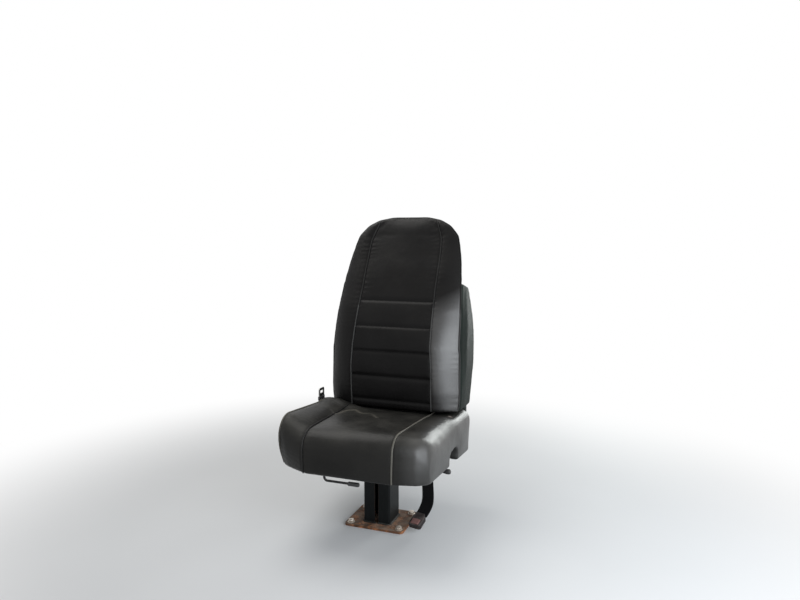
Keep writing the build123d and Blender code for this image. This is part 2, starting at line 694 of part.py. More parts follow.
# Tongue half of the lap belt, on the right: a carrier under the skirt, the retractor
# beside the cushion, and a stiff sleeve that holds the tongue up
retractor_x = -(CUSHION_HALF_WIDTH + RETRACTOR_GAP)
retractor_rear = CUSHION_REAR - RETRACTOR_AHEAD
retractor_front = retractor_rear - RETRACTOR_LENGTH
retractor_bottom = pan_top - RETRACTOR_DROP
retractor_top = retractor_bottom + RETRACTOR_HEIGHT
carrier_under = skirt_z(retractor_rear) - CARRIER_CLEARANCE - ANCHOR_PLATE
with BuildPart() as retractor_carrier:
    with BuildSketch(Plane.XZ.offset(-(retractor_front + retractor_rear) / 2)):
        with BuildLine():
            Polyline(
                (-bracket_outer_x, bracket_top),
                (-anchor_outer_x, bracket_top),
                (-anchor_outer_x, carrier_under + ANCHOR_PLATE),
                (retractor_x + ANCHOR_PLATE, carrier_under + ANCHOR_PLATE),
                (retractor_x + ANCHOR_PLATE, retractor_top - CARRIER_SHORT),
                (retractor_x, retractor_top - CARRIER_SHORT),
                (retractor_x, carrier_under),
                (-bracket_outer_x, carrier_under),
                close=True,
            )
        make_face()
    extrude(amount=CARRIER_DEPTH / 2, both=True)
retractor_carrier.part.label = "retractor_carrier"
export_step(retractor_carrier.part, "parts/retractor_carrier.step")

with BuildPart() as retractor:
    with BuildSketch(Plane.YZ.offset(retractor_x)):
        with BuildLine():
            Polyline(
                (retractor_front, retractor_bottom),
                (retractor_front, retractor_top),
                (retractor_rear, retractor_top),
                (retractor_rear, retractor_bottom),
                close=True,
            )
        make_face()
        fillet(vertices(), RETRACTOR_ROUND)
    extrude(amount=-RETRACTOR_THICK)
retractor.part.label = "retractor"
export_step(retractor.part, "parts/retractor.step")

sleeve_x = retractor_x - SLEEVE_OUT
sleeve_base_rear = retractor_rear - RETRACTOR_ROUND
sleeve_top = retractor_top + SLEEVE_RISE
tongue_y = sleeve_base_rear - WEBBING_WIDTH / 2 - SLEEVE_LEAN
with BuildPart() as belt_sleeve:
    with BuildSketch(Plane.YZ.offset(sleeve_x)):
        with BuildLine():
            Polyline(
                (sleeve_base_rear, retractor_top),
                (sleeve_base_rear - WEBBING_WIDTH, retractor_top),
                (tongue_y - WEBBING_WIDTH / 2, sleeve_top),
                (tongue_y + WEBBING_WIDTH / 2, sleeve_top),
                close=True,
            )
        make_face()
    extrude(amount=-SLEEVE_THICK)
belt_sleeve.part.label = "belt_sleeve"
export_step(belt_sleeve.part, "parts/belt_sleeve.step")

with BuildPart() as latch_tongue:
    with BuildSketch(Plane.YZ.offset(sleeve_x - (SLEEVE_THICK - TONGUE_THICK) / 2)):
        with Locations((tongue_y, sleeve_top)):
            Rectangle(TONGUE_WIDTH, TONGUE_LENGTH, align=(Align.CENTER, Align.MIN))
        fillet(vertices().group_by(Axis.Z)[-1], TONGUE_ROUND)
        with Locations((tongue_y, sleeve_top + TONGUE_LENGTH - TONGUE_SLOT_DROP)):
            Rectangle(TONGUE_WIDTH / 2, TONGUE_SLOT, mode=Mode.SUBTRACT)
    extrude(amount=-TONGUE_THICK)
latch_tongue.part.label = "latch_tongue"
export_step(latch_tongue.part, "parts/latch_tongue.step")
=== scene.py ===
import json
import logging
import math
from dataclasses import dataclass, field
from enum import Enum
from typing import Callable, Sequence

import bmesh
import bpy
import numpy as np
from mathutils import Matrix, Vector, noise
from mathutils.bvhtree import BVHTree
from mathutils.kdtree import KDTree


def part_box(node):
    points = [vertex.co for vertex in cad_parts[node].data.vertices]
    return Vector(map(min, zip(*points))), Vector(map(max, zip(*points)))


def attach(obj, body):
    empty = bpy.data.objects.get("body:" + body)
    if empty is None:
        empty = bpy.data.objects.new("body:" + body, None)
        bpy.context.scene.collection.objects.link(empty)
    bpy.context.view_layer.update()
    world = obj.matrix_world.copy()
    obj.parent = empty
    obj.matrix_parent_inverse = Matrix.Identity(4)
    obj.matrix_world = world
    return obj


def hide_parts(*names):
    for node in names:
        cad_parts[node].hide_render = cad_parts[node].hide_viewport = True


# High-back attendant seat: upholstery, metalwork and lap belt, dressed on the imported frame.
# Lengths are metres. The occupant faces -Y with +X on the left-hand side, so left and
# right in names are the occupant's.

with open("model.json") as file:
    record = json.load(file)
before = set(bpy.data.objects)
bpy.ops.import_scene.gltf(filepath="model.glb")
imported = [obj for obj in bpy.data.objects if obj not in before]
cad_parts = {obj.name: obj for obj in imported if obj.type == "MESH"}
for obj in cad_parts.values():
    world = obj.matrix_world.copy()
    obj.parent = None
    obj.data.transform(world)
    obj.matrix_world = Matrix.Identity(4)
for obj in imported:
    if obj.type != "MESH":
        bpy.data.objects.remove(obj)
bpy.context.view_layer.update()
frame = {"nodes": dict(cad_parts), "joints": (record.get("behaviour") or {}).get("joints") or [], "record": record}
LOG = logging.getLogger("attendant_seat")

Pair = tuple[float, float]
Triple = tuple[float, float, float]
Socket = bpy.types.NodeSocket
Sockets = bpy.types.NodeOutputs
Value = float | tuple | Socket
Inputs = dict[str | int, Value]
Wobble = Callable[[float], float]


class Side(Enum):
    """A side of the seat, valued by the sign of its x."""

    LEFT = 1
    RIGHT = -1

    @property
    def word(self) -> str:
        """The side's name as it stands in node names."""
        return self.name.lower()


class Seam(Enum):
    """How two panels of a cover meet, or how one is marked."""

    PIPED = "piped"
    CHANNEL = "channel"
    CREASE = "crease"


# Shader graphs


class Graph:
    """A node tree, with short ways to add nodes and to feed their sockets."""

    def __init__(self, tree: bpy.types.NodeTree) -> None:
        """Takes the tree that the nodes go into."""
        self.tree = tree

    def feed(self, socket: Socket, value: Value) -> None:
        """Fills an input socket.

        Args:
            socket: the input.
            value: an output to link into it, or a constant to set there.
        """
        if isinstance(value, Socket):
            self.tree.links.new(value, socket)
        else:
            socket.default_value = value

    def add(self, kind: str, inputs: Inputs | None = None, **settings: object) -> bpy.types.Node:
        """Adds a node.

        Args:
            kind: the node's type, without its ShaderNode prefix.
            inputs: what goes into its sockets, by name or place.
            settings: the node's own properties.

        Returns:
            The new node.
        """
        node = self.tree.nodes.new("ShaderNode" + kind)
        for name, value in settings.items():
            setattr(node, name, value)
        for name, value in (inputs or {}).items():
            self.feed(node.inputs[name], value)
        return node

    def math(self, operation: str, a: Value, b: Value = 0.0) -> Socket:
        """The result of a Math node on one or two values."""
        return self.add("Math", {0: a, 1: b}, operation=operation).outputs[0]

    def times(self, a: Value, b: Value) -> Socket:
        """The product of two values."""
        return self.math("MULTIPLY", a, b)

    def summed(self, base: Value, *shares: tuple[Socket, float]) -> Socket:
        """A value that masks add to.

        Args:
            base: the value where every mask is 0.
            shares: each mask, with what it adds where it is 1.

        Returns:
            The sum.
        """
        for mask, share in shares:
            base = self.math("ADD", self.times(mask, share), base)
        return base

    def span(self, value: Value, low: float, high: float) -> Socket:
        """A value brought smoothly from low..high to 0..1."""
        inputs = {"Value": value, "From Min": low, "From Max": high}
        return self.add("MapRange", inputs, interpolation_type="SMOOTHSTEP").outputs[0]

    def blend(self, factor: Value, a: Value, b: Value) -> Socket:
        """Colour a, turning into colour b as factor goes to 1."""
        a, b = (c if isinstance(c, Socket) else (*c, 1.0) for c in (a, b))
        return self.add("Mix", {0: factor, 6: a, 7: b}, data_type="RGBA").outputs[2]

    def layered(self, base: Value, *layers: tuple[Value, Value]) -> Socket:
        """A colour under layers of other colours.

        Args:
            base: the lowest colour.
            layers: each layer's mask and its colour, from the lowest up.

        Returns:
            The colour that is seen.
        """
        for mask, colour in layers:
            base = self.blend(mask, base, colour)
        return base

    def place(self) -> Socket:
        """The point on the piece, in its own coordinates."""
        return self.add("TexCoord").outputs["Object"]

    def marked(self, name: str) -> Socket:
        """The value that the cover's points are marked with."""
        return self.add("Attribute", attribute_name=name).outputs["Fac"]

    def noise(self, scale: Value, detail: float = 4.0, stretch: Triple = (1.0, 1.0, 1.0)) -> Socket:
        """Smooth noise over the piece.

        Args:
            scale: how many waves it has in a metre.
            detail: how many octaves finer it goes.
            stretch: how many times denser it is along each axis.

        Returns:
            The noise's value, about 0.5.
        """
        point = self.add("VectorMath", {0: self.place(), 1: stretch}, operation="MULTIPLY")
        inputs = {"Vector": point.outputs[0], "Scale": scale, "Detail": detail}
        return self.add("TexNoise", inputs).outputs[0]

    def bump(self, height: Value, depth: float, under: Socket | None = None) -> Socket:
        """A bumped normal.

        Args:
            height: the height, from 0 to 1.
            depth: how deep that range is, in metres.
            under: a bumped normal that this one lies on.

        Returns:
            The normal.
        """
        inputs: Inputs = {"Height": height, "Distance": depth}
        if under is not None:
            inputs["Normal"] = under
        return self.add("Bump", inputs).outputs[0]


class Effect:
    """A shader node group that several finishes place, each with its own values."""

    title = ""
    inputs: dict[str, float] = {}
    outputs: tuple[str, ...] = ()

    @classmethod
    def tree(cls) -> bpy.types.NodeTree:
        """Builds the group when it is first asked for.

        Returns:
            The group's node tree.
        """
        made = bpy.data.node_groups.get(cls.title)
        if made is not None:
            return made
        made = bpy.data.node_groups.new(cls.title, "ShaderNodeTree")
        for name, value in cls.inputs.items():
            socket = made.interface.new_socket(name, in_out="INPUT", socket_type="NodeSocketFloat")
            socket.default_value = value
        for name in cls.outputs:
            made.interface.new_socket(name, in_out="OUTPUT", socket_type="NodeSocketFloat")
        given = made.nodes.new("NodeGroupInput").outputs
        ends = made.nodes.new("NodeGroupOutput").inputs
        for name, value in zip(cls.outputs, cls.wire(Graph(made), given)):
            made.links.new(value, ends[name])
        return made

    @classmethod
    def wire(cls, graph: Graph, given: Sockets) -> Sequence[Socket]:
        """Builds the group's inside.

        Args:
            graph: the group's tree.
            given: the group's inputs.

        Returns:
            What each output puts out, in their order.
        """
        raise NotImplementedError

    @classmethod
    def on(cls, graph: Graph, **values: Value) -> Socket:
        """Places the group in a material.

        Args:
            graph: the material's tree.
            values: inputs by name, with underscores for spaces.

        Returns:
            The placed group's first output.
        """
        return cls.all_on(graph, **values)[0]

    @classmethod
    def all_on(cls, graph: Graph, **values: Value) -> Sockets:
        """Places the group in a material.

        Args:
            graph: the material's tree.
            values: inputs by name, with underscores for spaces.

        Returns:
            All of the placed group's outputs.
        """
        node = graph.add("Group", node_tree=cls.tree())
        for name, value in values.items():
            graph.feed(node.inputs[name.replace("_", " ")], value)
        return node.outputs


class Grain(Effect):
    """Embossed grain: small uneven pebbles parted by fine creases."""

    title = "embossed_grain"
    inputs = {"cells per metre": 800.0, "unevenness": 0.5}
    outputs = ("Height",)

    @classmethod
    def wire(cls, graph: Graph, given: Sockets) -> Sequence[Socket]:
        """Wires pebbles from distance to cell edges, raised unevenly.

        Args:
            graph: the group's tree.
            given: the group's inputs.

        Returns:
            The height.
        """
        inputs = {"Vector": graph.place(), "Scale": given["cells per metre"]}
        cells = graph.add("TexVoronoi", inputs, feature="DISTANCE_TO_EDGE")
        pebble = graph.span(cells.outputs["Distance"], 0.0, 0.32)
        finer = graph.times(given["cells per metre"], 0.45)
        return [graph.math("ADD", pebble, graph.times(graph.noise(finer, 3.0), given["unevenness"]))]


class Blotches(Effect):
    """Slow uneven change of tone, as on old material."""

    title = "tone_blotches"
    inputs = {"per metre": 9.0}
    outputs = ("Tone",)

    @classmethod
    def wire(cls, graph: Graph, given: Sockets) -> Sequence[Socket]:
        """Wires broad noise, spread to the whole range."""
        return [graph.span(graph.noise(given["per metre"], 5.0), 0.32, 0.68)]


class EdgeWear(Effect):
    """Where edges are rubbed: sharp turns of the surface, broken up by noise."""

    title = "edge_wear"
    inputs = {"radius": 0.003, "breakup per metre": 90.0}
    outputs = ("Mask",)

    @classmethod
    def wire(cls, graph: Graph, given: Sockets) -> Sequence[Socket]:
        """Wires the difference between rounded and true normals.

        Args:
            graph: the group's tree.
            given: the group's inputs.

        Returns:
            The mask.
        """
        rounded = graph.add("Bevel", {"Radius": given["radius"]}, samples=6).outputs[0]
        true = graph.add("NewGeometry").outputs["Normal"]
        alike = graph.add("VectorMath", {0: rounded, 1: true}, operation="DOT_PRODUCT").outputs["Value"]
        turn = graph.math("SUBTRACT", 1.0, alike)
        return [graph.span(graph.times(turn, graph.noise(given["breakup per metre"], 5.0)), 0.015, 0.11)]


class Dust(Effect):
    """Dust that lies on what faces up, in uneven patches."""

    title = "settled_dust"
    inputs = {"amount": 0.4, "per metre": 14.0}
    outputs = ("Mask",)

    @classmethod
    def wire(cls, graph: Graph, given: Sockets) -> Sequence[Socket]:
        """Wires the upward part of the normal, times patches and specks.

        Args:
            graph: the group's tree.
            given: the group's inputs.

        Returns:
            The mask.
        """
        normal = graph.add("TexCoord").outputs["Normal"]
        up = graph.span(graph.add("SeparateXYZ", {0: normal}).outputs["Z"], 0.1, 0.95)
        patches = graph.span(graph.noise(given["per metre"], 6.0), 0.3, 0.75)
        specks = graph.span(graph.noise(420.0, 2.0), 0.3, 0.7)
        return [graph.times(graph.times(up, graph.summed(patches, (specks, 0.25))), given["amount"])]


class Scratches(Effect):
    """Fine scuffs that run mostly one way."""

    title = "fine_scuffs"
    inputs = {"per metre": 60.0}
    outputs = ("Mask",)

    @classmethod
    def wire(cls, graph: Graph, given: Sockets) -> Sequence[Socket]:
        """Wires thin bands of stretched noise, kept in patches.

        Args:
            graph: the group's tree.
            given: the group's inputs.

        Returns:
            The mask.
        """
        streak = graph.noise(given["per metre"], 2.0, (1.0, 5.0, 9.0))
        thin = graph.math("ABSOLUTE", graph.math("SUBTRACT", streak, 0.5))
        line = graph.math("SUBTRACT", 1.0, graph.span(thin, 0.0, 0.018))
        return [graph.times(line, graph.span(graph.noise(11.0), 0.45, 0.7))]


class Corrosion(Effect):
    """Rust in patches, with a scabby height."""

    title = "corrosion"
    inputs = {"per metre": 30.0, "spread": 0.5}
    outputs = ("Mask", "Height")

    @classmethod
    def wire(cls, graph: Graph, given: Sockets) -> Sequence[Socket]:
        """Wires patches whose reach grows with spread, and fine scabs.

        Args:
            graph: the group's tree.
            given: the group's inputs.

        Returns:
            The mask and the height.
        """
        patches = graph.math("ADD", graph.noise(given["per metre"], 8.0), given["spread"])
        mask = graph.span(graph.math("SUBTRACT", patches, 0.5), 0.42, 0.62)
        return [mask, graph.times(mask, graph.noise(600.0, 6.0))]


class Weave(Effect):
    """Herringbone webbing, laid along the piece's own map."""

    title = "webbing_weave"
    inputs = {"threads per metre": 620.0}
    outputs = ("Height",)

    @classmethod
    def wire(cls, graph: Graph, given: Sockets) -> Sequence[Socket]:
        """Wires ribs that zigzag across the webbing.

        Args:
            graph: the group's tree.
            given: the group's inputs.

        Returns:
            The height.
        """
        across, along, _ = graph.add("SeparateXYZ", {0: graph.add("TexCoord").outputs["UV"]}).outputs
        u, v = (graph.times(way, given["threads per metre"]) for way in (across, along))
        rib = graph.math("PINGPONG", graph.math("ADD", v, graph.math("PINGPONG", u, 4.0)), 1.0)
        return [graph.span(rib, 0.1, 0.9)]


# Finishes


@dataclass(frozen=True)
class Finish:
    """A surface finish, with what all finishes share."""

    title: str
    colour: Triple
    roughness: float
    specular: float = 0.5

    def material(self) -> bpy.types.Material:
        """Makes the material when it is first asked for.

        Returns:
            The finish as a material.
        """
        made = bpy.data.materials.get(self.title)
        if made is None:
            made = bpy.data.materials.new(self.title)
            made.use_nodes = True
            made.node_tree.nodes.clear()
            graph = Graph(made.node_tree)
            shader = graph.add("BsdfPrincipled", {"Specular IOR Level": self.specular, **self.wire(graph)})
            graph.add("OutputMaterial", {"Surface": shader.outputs[0]})
        return made

    def wire(self, graph: Graph) -> Inputs:
        """Builds what lies before the shader.

        Args:
            graph: the material's tree.

        Returns:
            The inputs of its Principled BSDF.
        """
        raise NotImplementedError

    def tone(self, factor: float) -> Triple:
        """The finish's colour, lightened or darkened by a factor."""
        return tuple(c * factor for c in self.colour)


@dataclass(frozen=True)
class Vinyl(Finish):
    """Grained black vinyl over foam, dusty on top and rubbed along its edges."""

    rubbed: Triple = (0.13, 0.12, 0.10)
    dust: float = 0.35
    dust_colour: Triple = (0.16, 0.145, 0.115)
    wear: float = 0.35
    wear_radius: float = 0.006
    creased: float = 0.85
    torn: Triple = (0.42, 0.36, 0.33)
    grain: float = 0.00005
    buckle: float = 0.0009
    groove_shade: float = 0.6
    polish: float = 0.0
    polish_roughness: float = 0.36
    polish_ior: float = 1.7

    def wire(self, graph: Graph) -> Inputs:
        """Layers tone, rubbed edges, dust, creases, painted shade in the seam grooves and a tear over the grain.

        Args:
            graph: the material's tree.

        Returns:
            The shader's inputs.
        """
        tone = Blotches.on(graph, per_metre=7.0)
        worn = EdgeWear.on(graph, radius=self.wear_radius, breakup_per_metre=45.0)
        dust = Dust.on(graph, amount=self.dust, per_metre=11.0)
        scuffs = Scratches.on(graph, per_metre=38.0)
        torn_through = graph.span(graph.noise(160.0, 4.0), 0.35, 0.6)
        colour = graph.layered(
            self.colour,
            (tone, self.tone(1.5)),
            (graph.times(worn, self.wear), self.rubbed),
            (dust, self.dust_colour),
            (graph.times(graph.marked("crease"), self.creased), self.rubbed),
            # Painted shade: the cover darkens towards its seams, in their grooves.
            (graph.times(graph.marked("seam"), self.groove_shade), self.tone(0.45)),
            (graph.times(graph.marked("rub"), torn_through), self.torn),
        )
        rough = graph.summed(self.roughness - 0.03, (tone, 0.07), (dust, 0.35), (scuffs, 0.08))
        buckled = graph.bump(graph.noise(34.0, 3.0), self.buckle)
        grain = Grain.on(graph, cells_per_metre=780.0, unevenness=0.7)
        inputs = {"Base Color": colour, "Roughness": rough, "Normal": graph.bump(grain, self.grain, buckled)}
        if self.polish:
            uneven = graph.summed(self.polish, (tone, -0.25 * self.polish))
            inputs["Coat Weight"] = graph.times(graph.marked("polish"), uneven)
            inputs["Coat Roughness"] = self.polish_roughness
            inputs["Coat IOR"] = self.polish_ior
        return inputs


@dataclass(frozen=True)
class PaintedSteel(Finish):
    """Painted sheet steel, chipped to rust along its edges."""

    rust: Triple = (0.17, 0.075, 0.035)
    rust_spread: float = 0.28
    chipped: float = 0.8
    scuffed: float = 0.3
    dust: float = 0.4
    dust_colour: Triple = (0.2, 0.19, 0.165)
    paint_peel: float = 0.00008
    scab: float = 0.0005

    def wire(self, graph: Graph) -> Inputs:
        """Layers scuffs, rust at chips and patches, and dust over the paint.

        Args:
            graph: the material's tree.

        Returns:
            The shader's inputs.
        """
        tone = Blotches.on(graph, per_metre=16.0)
        chips = EdgeWear.on(graph, radius=0.0022, breakup_per_metre=210.0)
        patches, scabs = Corrosion.all_on(graph, per_metre=36.0, spread=self.rust_spread)
        dust = Dust.on(graph, amount=self.dust, per_metre=24.0)
        scuffs = Scratches.on(graph, per_metre=95.0)
        bare = graph.math("MAXIMUM", graph.times(chips, self.chipped), patches)
        colour = graph.layered(
            self.colour,
            (tone, self.tone(1.45)),
            (graph.times(scuffs, self.scuffed), self.tone(4.0)),
            (bare, self.rust),
            (dust, self.dust_colour),
        )
        rough = graph.summed(self.roughness, (bare, 0.35), (dust, 0.25))
        peel = graph.bump(graph.noise(380.0, 2.0), self.paint_peel)
        return {"Base Color": colour, "Roughness": rough, "Normal": graph.bump(scabs, self.scab, peel)}


@dataclass(frozen=True)
class RustedPlate(Finish):
    """Plate steel rusted all over, paler where it is trodden."""

    dark: Triple = (0.07, 0.035, 0.02)
    bright: Triple = (0.42, 0.17, 0.07)
    trodden: Triple = (0.30, 0.25, 0.20)
    pit: float = 0.0003
    scab: float = 0.0008

    def wire(self, graph: Graph) -> Inputs:
        """Mixes dark, plain and bright rust, with pale trodden patches.

        Args:
            graph: the material's tree.

        Returns:
            The shader's inputs.
        """
        broad = Blotches.on(graph, per_metre=26.0)
        fine = graph.span(graph.noise(170.0, 8.0), 0.35, 0.65)
        patches, scabs = Corrosion.all_on(graph, per_metre=48.0, spread=0.5)
        dust = Dust.on(graph, amount=0.55, per_metre=30.0)
        colour = graph.layered(
            self.dark, (broad, self.colour), (graph.times(fine, patches), self.bright), (dust, self.trodden)
        )
        rough = graph.summed(self.roughness, (fine, -0.12))
        pits = graph.bump(graph.noise(900.0, 5.0), self.pit)
        return {"Base Color": colour, "Roughness": rough, "Normal": graph.bump(scabs, self.scab, pits)}


@dataclass(frozen=True)
class BareSteel(Finish):
    """Plated steel, dulled by grime and touched by rust."""

    grime: Triple = (0.055, 0.05, 0.042)
    grime_spread: float = 0.3
    brushing: float = 0.00005

    def wire(self, graph: Graph) -> Inputs:
        """Layers grime over brushed plating.

        Args:
            graph: the material's tree.

        Returns:
            The shader's inputs.
        """
        brushed = graph.noise(150.0, 3.0, (1.0, 0.06, 1.0))
        grime = Corrosion.on(graph, per_metre=24.0, spread=self.grime_spread)
        cover = graph.math("MAXIMUM", grime, Dust.on(graph, amount=0.35, per_metre=30.0))
        return {
            "Base Color": graph.layered(self.tone(0.8), (brushed, self.tone(1.1)), (cover, self.grime)),
            "Metallic": graph.summed(1.0, (cover, -0.85)),
            "Roughness": graph.summed(self.roughness - 0.08, (brushed, 0.16), (cover, 0.35)),
            "Normal": graph.bump(brushed, self.brushing),
        }


@dataclass(frozen=True)
class Moulded(Finish):
    """Moulded plastic with a fine spark-eroded texture."""

    scuffed: Triple = (0.12, 0.12, 0.118)
    texture: float = 0.00006
    dust: float = 0.22
    dust_colour: Triple = (0.17, 0.16, 0.14)

    def wire(self, graph: Graph) -> Inputs:
        """Layers scuffed edges and dust over the texture.

        Args:
            graph: the material's tree.

        Returns:
            The shader's inputs.
        """
        tone = Blotches.on(graph, per_metre=30.0)
        worn = EdgeWear.on(graph, radius=0.0016, breakup_per_metre=260.0)
        scuffs = Scratches.on(graph, per_metre=130.0)
        dust = Dust.on(graph, amount=self.dust, per_metre=45.0)
        rubbed = graph.math("MAXIMUM", graph.times(worn, 0.55), graph.times(scuffs, 0.3))
        layers = ((tone, self.tone(1.3)), (rubbed, self.scuffed), (dust, self.dust_colour))
        return {
            "Base Color": graph.layered(self.colour, *layers),
            "Roughness": graph.summed(self.roughness, (rubbed, 0.2)),
            "Normal": graph.bump(graph.noise(1600.0, 2.0), self.texture),
        }


@dataclass(frozen=True)
class Webbing(Finish):
    """Woven polyester belt webbing."""

    faded: Triple = (0.055, 0.055, 0.058)
    rib: float = 0.0003

    def wire(self, graph: Graph) -> Inputs:
        """Shades and raises the ribs of the weave.

        Args:
            graph: the material's tree.

        Returns:
            The shader's inputs.
        """
        height = Weave.on(graph, threads_per_metre=640.0)
        tone = Blotches.on(graph, per_metre=22.0)
        layers = ((height, self.colour), (graph.times(tone, 0.4), self.faded))
        return {
            "Base Color": graph.layered(self.tone(0.55), *layers),
            "Roughness": graph.summed(self.roughness, (tone, 0.08)),
            "Normal": graph.bump(height, self.rib),
            "Sheen Weight": 0.03,
        }


# The cushion and the back are one vinyl painted in two tones: the cushion's lighter colour is painted light from
# above.
VINYL = Vinyl(
    "black_vinyl", (0.0078, 0.0076, 0.0070), 0.38, 0.16,
    dust=0.16, dust_colour=(0.12, 0.115, 0.10), polish=0.62,
)
# The back's darker colour is painted shade.
SHADED_BACK_VINYL = Vinyl("shaded_black_vinyl_back", (0.0044, 0.0042, 0.0042), 0.38, 0.1, dust=0.03, wear=0.15, polish=1.0)
# The boxing's greenish tint is a painted reflection of teal light from around the seat.
TEAL_TINTED_BOXING_VINYL = Vinyl("teal_lit_black_vinyl_boxing", (0.0085, 0.0115, 0.010), 0.55, 0.05, dust=0.05, wear=0.5)
PIPING = Vinyl(
    "piping_vinyl", (0.0085, 0.0084, 0.0082), 0.42, 0.15, dust=0.03, wear=0.3, wear_radius=0.0028
)
# Pipings painted paler than the vinyl: partly rubbed wear and dust, partly a painted highlight along the cord.
HIGHLIT_CUSHION_PIPING = Vinyl(
    "worn_highlit_piping_vinyl", (0.055, 0.052, 0.045), 0.42, 0.2,
    rubbed=(0.27, 0.255, 0.22), dust=0.35, wear=1.0, wear_radius=0.0028,
)
HIGHLIT_BACK_PIPING = Vinyl(
    "worn_highlit_piping_vinyl_back", (0.026, 0.0255, 0.025), 0.42, 0.15,
    rubbed=(0.17, 0.165, 0.155), dust=0.03, wear=0.7, wear_radius=0.0028,
)
THREAD = Webbing("sewing_thread", (0.006, 0.006, 0.006), 0.8, 0.05, faded=(0.012, 0.012, 0.012))
# The column's paint is darker than the frame's to stand in for the seat's shadow over the column: painted shade
# over the real dark paint.
SHADED_COLUMN_PAINT = PaintedSteel(
    "worn_shaded_column_paint", (0.004, 0.0048, 0.005), 0.45, 0.12, rust_spread=0.2, chipped=0.25, dust=0.3
)
FRAME_PAINT = PaintedSteel("worn_frame_paint", (0.009, 0.009, 0.010), 0.45, 0.25, rust_spread=0.2)
RUST = RustedPlate("rusted_plate", (0.12, 0.056, 0.032), 0.88, 0.2)
RAIL_STEEL = BareSteel("greased_rail_steel", (0.42, 0.41, 0.39), 0.42)
BOLT_STEEL = BareSteel(
    "aged_bolt_steel", (0.55, 0.5, 0.44), 0.45, grime=(0.30, 0.22, 0.16), grime_spread=0.42
)
TONGUE_STEEL = BareSteel("plated_tongue_steel", (0.62, 0.62, 0.61), 0.25, grime_spread=0.12)
BLACK_PLASTIC = Moulded("moulded_black", (0.017, 0.017, 0.018), 0.48, 0.4)
BUCKLE_PLASTIC = Moulded(
    "buckle_plastic", (0.016, 0.013, 0.013), 0.5, 0.2,
    scuffed=(0.10, 0.09, 0.085), dust=0.75, dust_colour=(0.11, 0.092, 0.086),
)
BUTTON_RED = Moulded(
    "faded_red_button", (0.16, 0.075, 0.068), 0.5, 0.25,
    scuffed=(0.24, 0.17, 0.16), dust=0.3, dust_colour=(0.2, 0.16, 0.15),
)
BELT = Webbing("belt_webbing", (0.003, 0.003, 0.0035), 0.72, 0.08, faded=(0.008, 0.008, 0.009))


# Shapes


@dataclass
class Shape:
    """Points and faces, gathered before they become one object."""

    points: list[Vector] = field(default_factory=list)
    faces: list[tuple[int, ...]] = field(default_factory=list)
    map_points: list[Pair] = field(default_factory=list)

    def add(self, other: "Shape") -> "Shape":
        """Takes in another shape.

        Args:
            other: the shape whose points and faces are added.

        Returns:
            This shape.
        """
        start = len(self.points)
        self.points += other.points
        self.map_points += other.map_points
        self.faces += [tuple(i + start for i in face) for face in other.faces]
        return self

    def moved(self, matrix: Matrix) -> "Shape":
        """A copy of the shape, placed by a matrix."""
        return Shape([matrix @ p for p in self.points], list(self.faces), list(self.map_points))

    def bevelled(self, width: float, segments: int = 3, over: float = 30.0) -> "Shape":
        """A copy with its sharp edges rounded.

        Args:
            width: how far the rounding reaches from each edge.
            segments: how many faces go round it.
            over: the turn, in degrees, from which an edge counts as sharp.

        Returns:
            The rounded shape.
        """
        mesh = bmesh.new()
        made = [mesh.verts.new(p) for p in self.points]
        for face in self.faces:
            mesh.faces.new([made[i] for i in face])
        bmesh.ops.recalc_face_normals(mesh, faces=mesh.faces)
        paired = [e for e in mesh.edges if len(e.link_faces) == 2]
        sharp = [e for e in paired if e.calc_face_angle(0) > math.radians(over)]
        bmesh.ops.bevel(mesh, geom=sharp, offset=width, segments=segments, profile=0.5, affect="EDGES")
        mesh.verts.index_update()
        faces = [tuple(v.index for v in f.verts) for f in mesh.faces]
        shape = Shape([v.co.copy() for v in mesh.verts], faces)
        mesh.free()
        return shape

    def mesh(self, name: str) -> bpy.types.Mesh:
        """Makes a mesh of the shape, still without a finish.

        Args:
            name: the mesh's name.

        Returns:
            The mesh.
        """
        data = bpy.data.meshes.new(name)
        data.from_pydata([tuple(p) for p in self.points], [], self.faces)
        return data

    def build(self, name: str, finish: Finish, smooth_to: float = 40.0) -> bpy.types.Object:
        """Makes the shape an object.

        Args:
            name: the piece's name.
            finish: its finish.
            smooth_to: the turn, in degrees, up to which faces are shaded as one.

        Returns:
            The new object, in the scene.
        """
        data = self.mesh(name)
        if self.map_points:
            layer = data.uv_layers.new(name="lengths")
            for loop in data.loops:
                layer.data[loop.index].uv = self.map_points[loop.vertex_index]
        mesh = bmesh.new()
        mesh.from_mesh(data)
        bmesh.ops.recalc_face_normals(mesh, faces=mesh.faces)
        mesh.to_mesh(data)
        mesh.free()
        return show(data, name, finish, smooth_to)


def linked(name: str, data: bpy.types.ID) -> bpy.types.Object:
    """Puts a new object into the scene.

    Args:
        name: its name.
        data: its mesh, light or camera.

    Returns:
        The object.
    """
    made = bpy.data.objects.new(name, data)
    bpy.context.scene.collection.objects.link(made)
    return made


def show(data: bpy.types.Mesh, name: str, finish: Finish, smooth_to: float = 180.0) -> bpy.types.Object:
    """Puts a mesh into the scene as a piece.

    Args:
        data: the mesh.
        name: the piece's name.
        finish: its finish.
        smooth_to: the turn, in degrees, up to which faces are shaded as one.

    Returns:
        The new object.
    """
    data.materials.clear()
    data.materials.append(finish.material())
    data.shade_smooth()
    if smooth_to < 180.0:
        data.set_sharp_from_angle(angle=math.radians(smooth_to))
    return linked(name, data)


def mount(
    piece: bpy.types.Object,
    body: str,
    replaces: Sequence[str] = (),
) -> None:
    """Hands a finished piece to the frame and reports it.

    Args:
        piece: the piece, in place.
        body: the body that it moves with.
        replaces: the CAD nodes that it stands for.
    """
    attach(piece, body)
    if replaces:
        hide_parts(*replaces)
    LOG.info("%s: %d faces on %s", piece.name, len(piece.data.polygons), body)


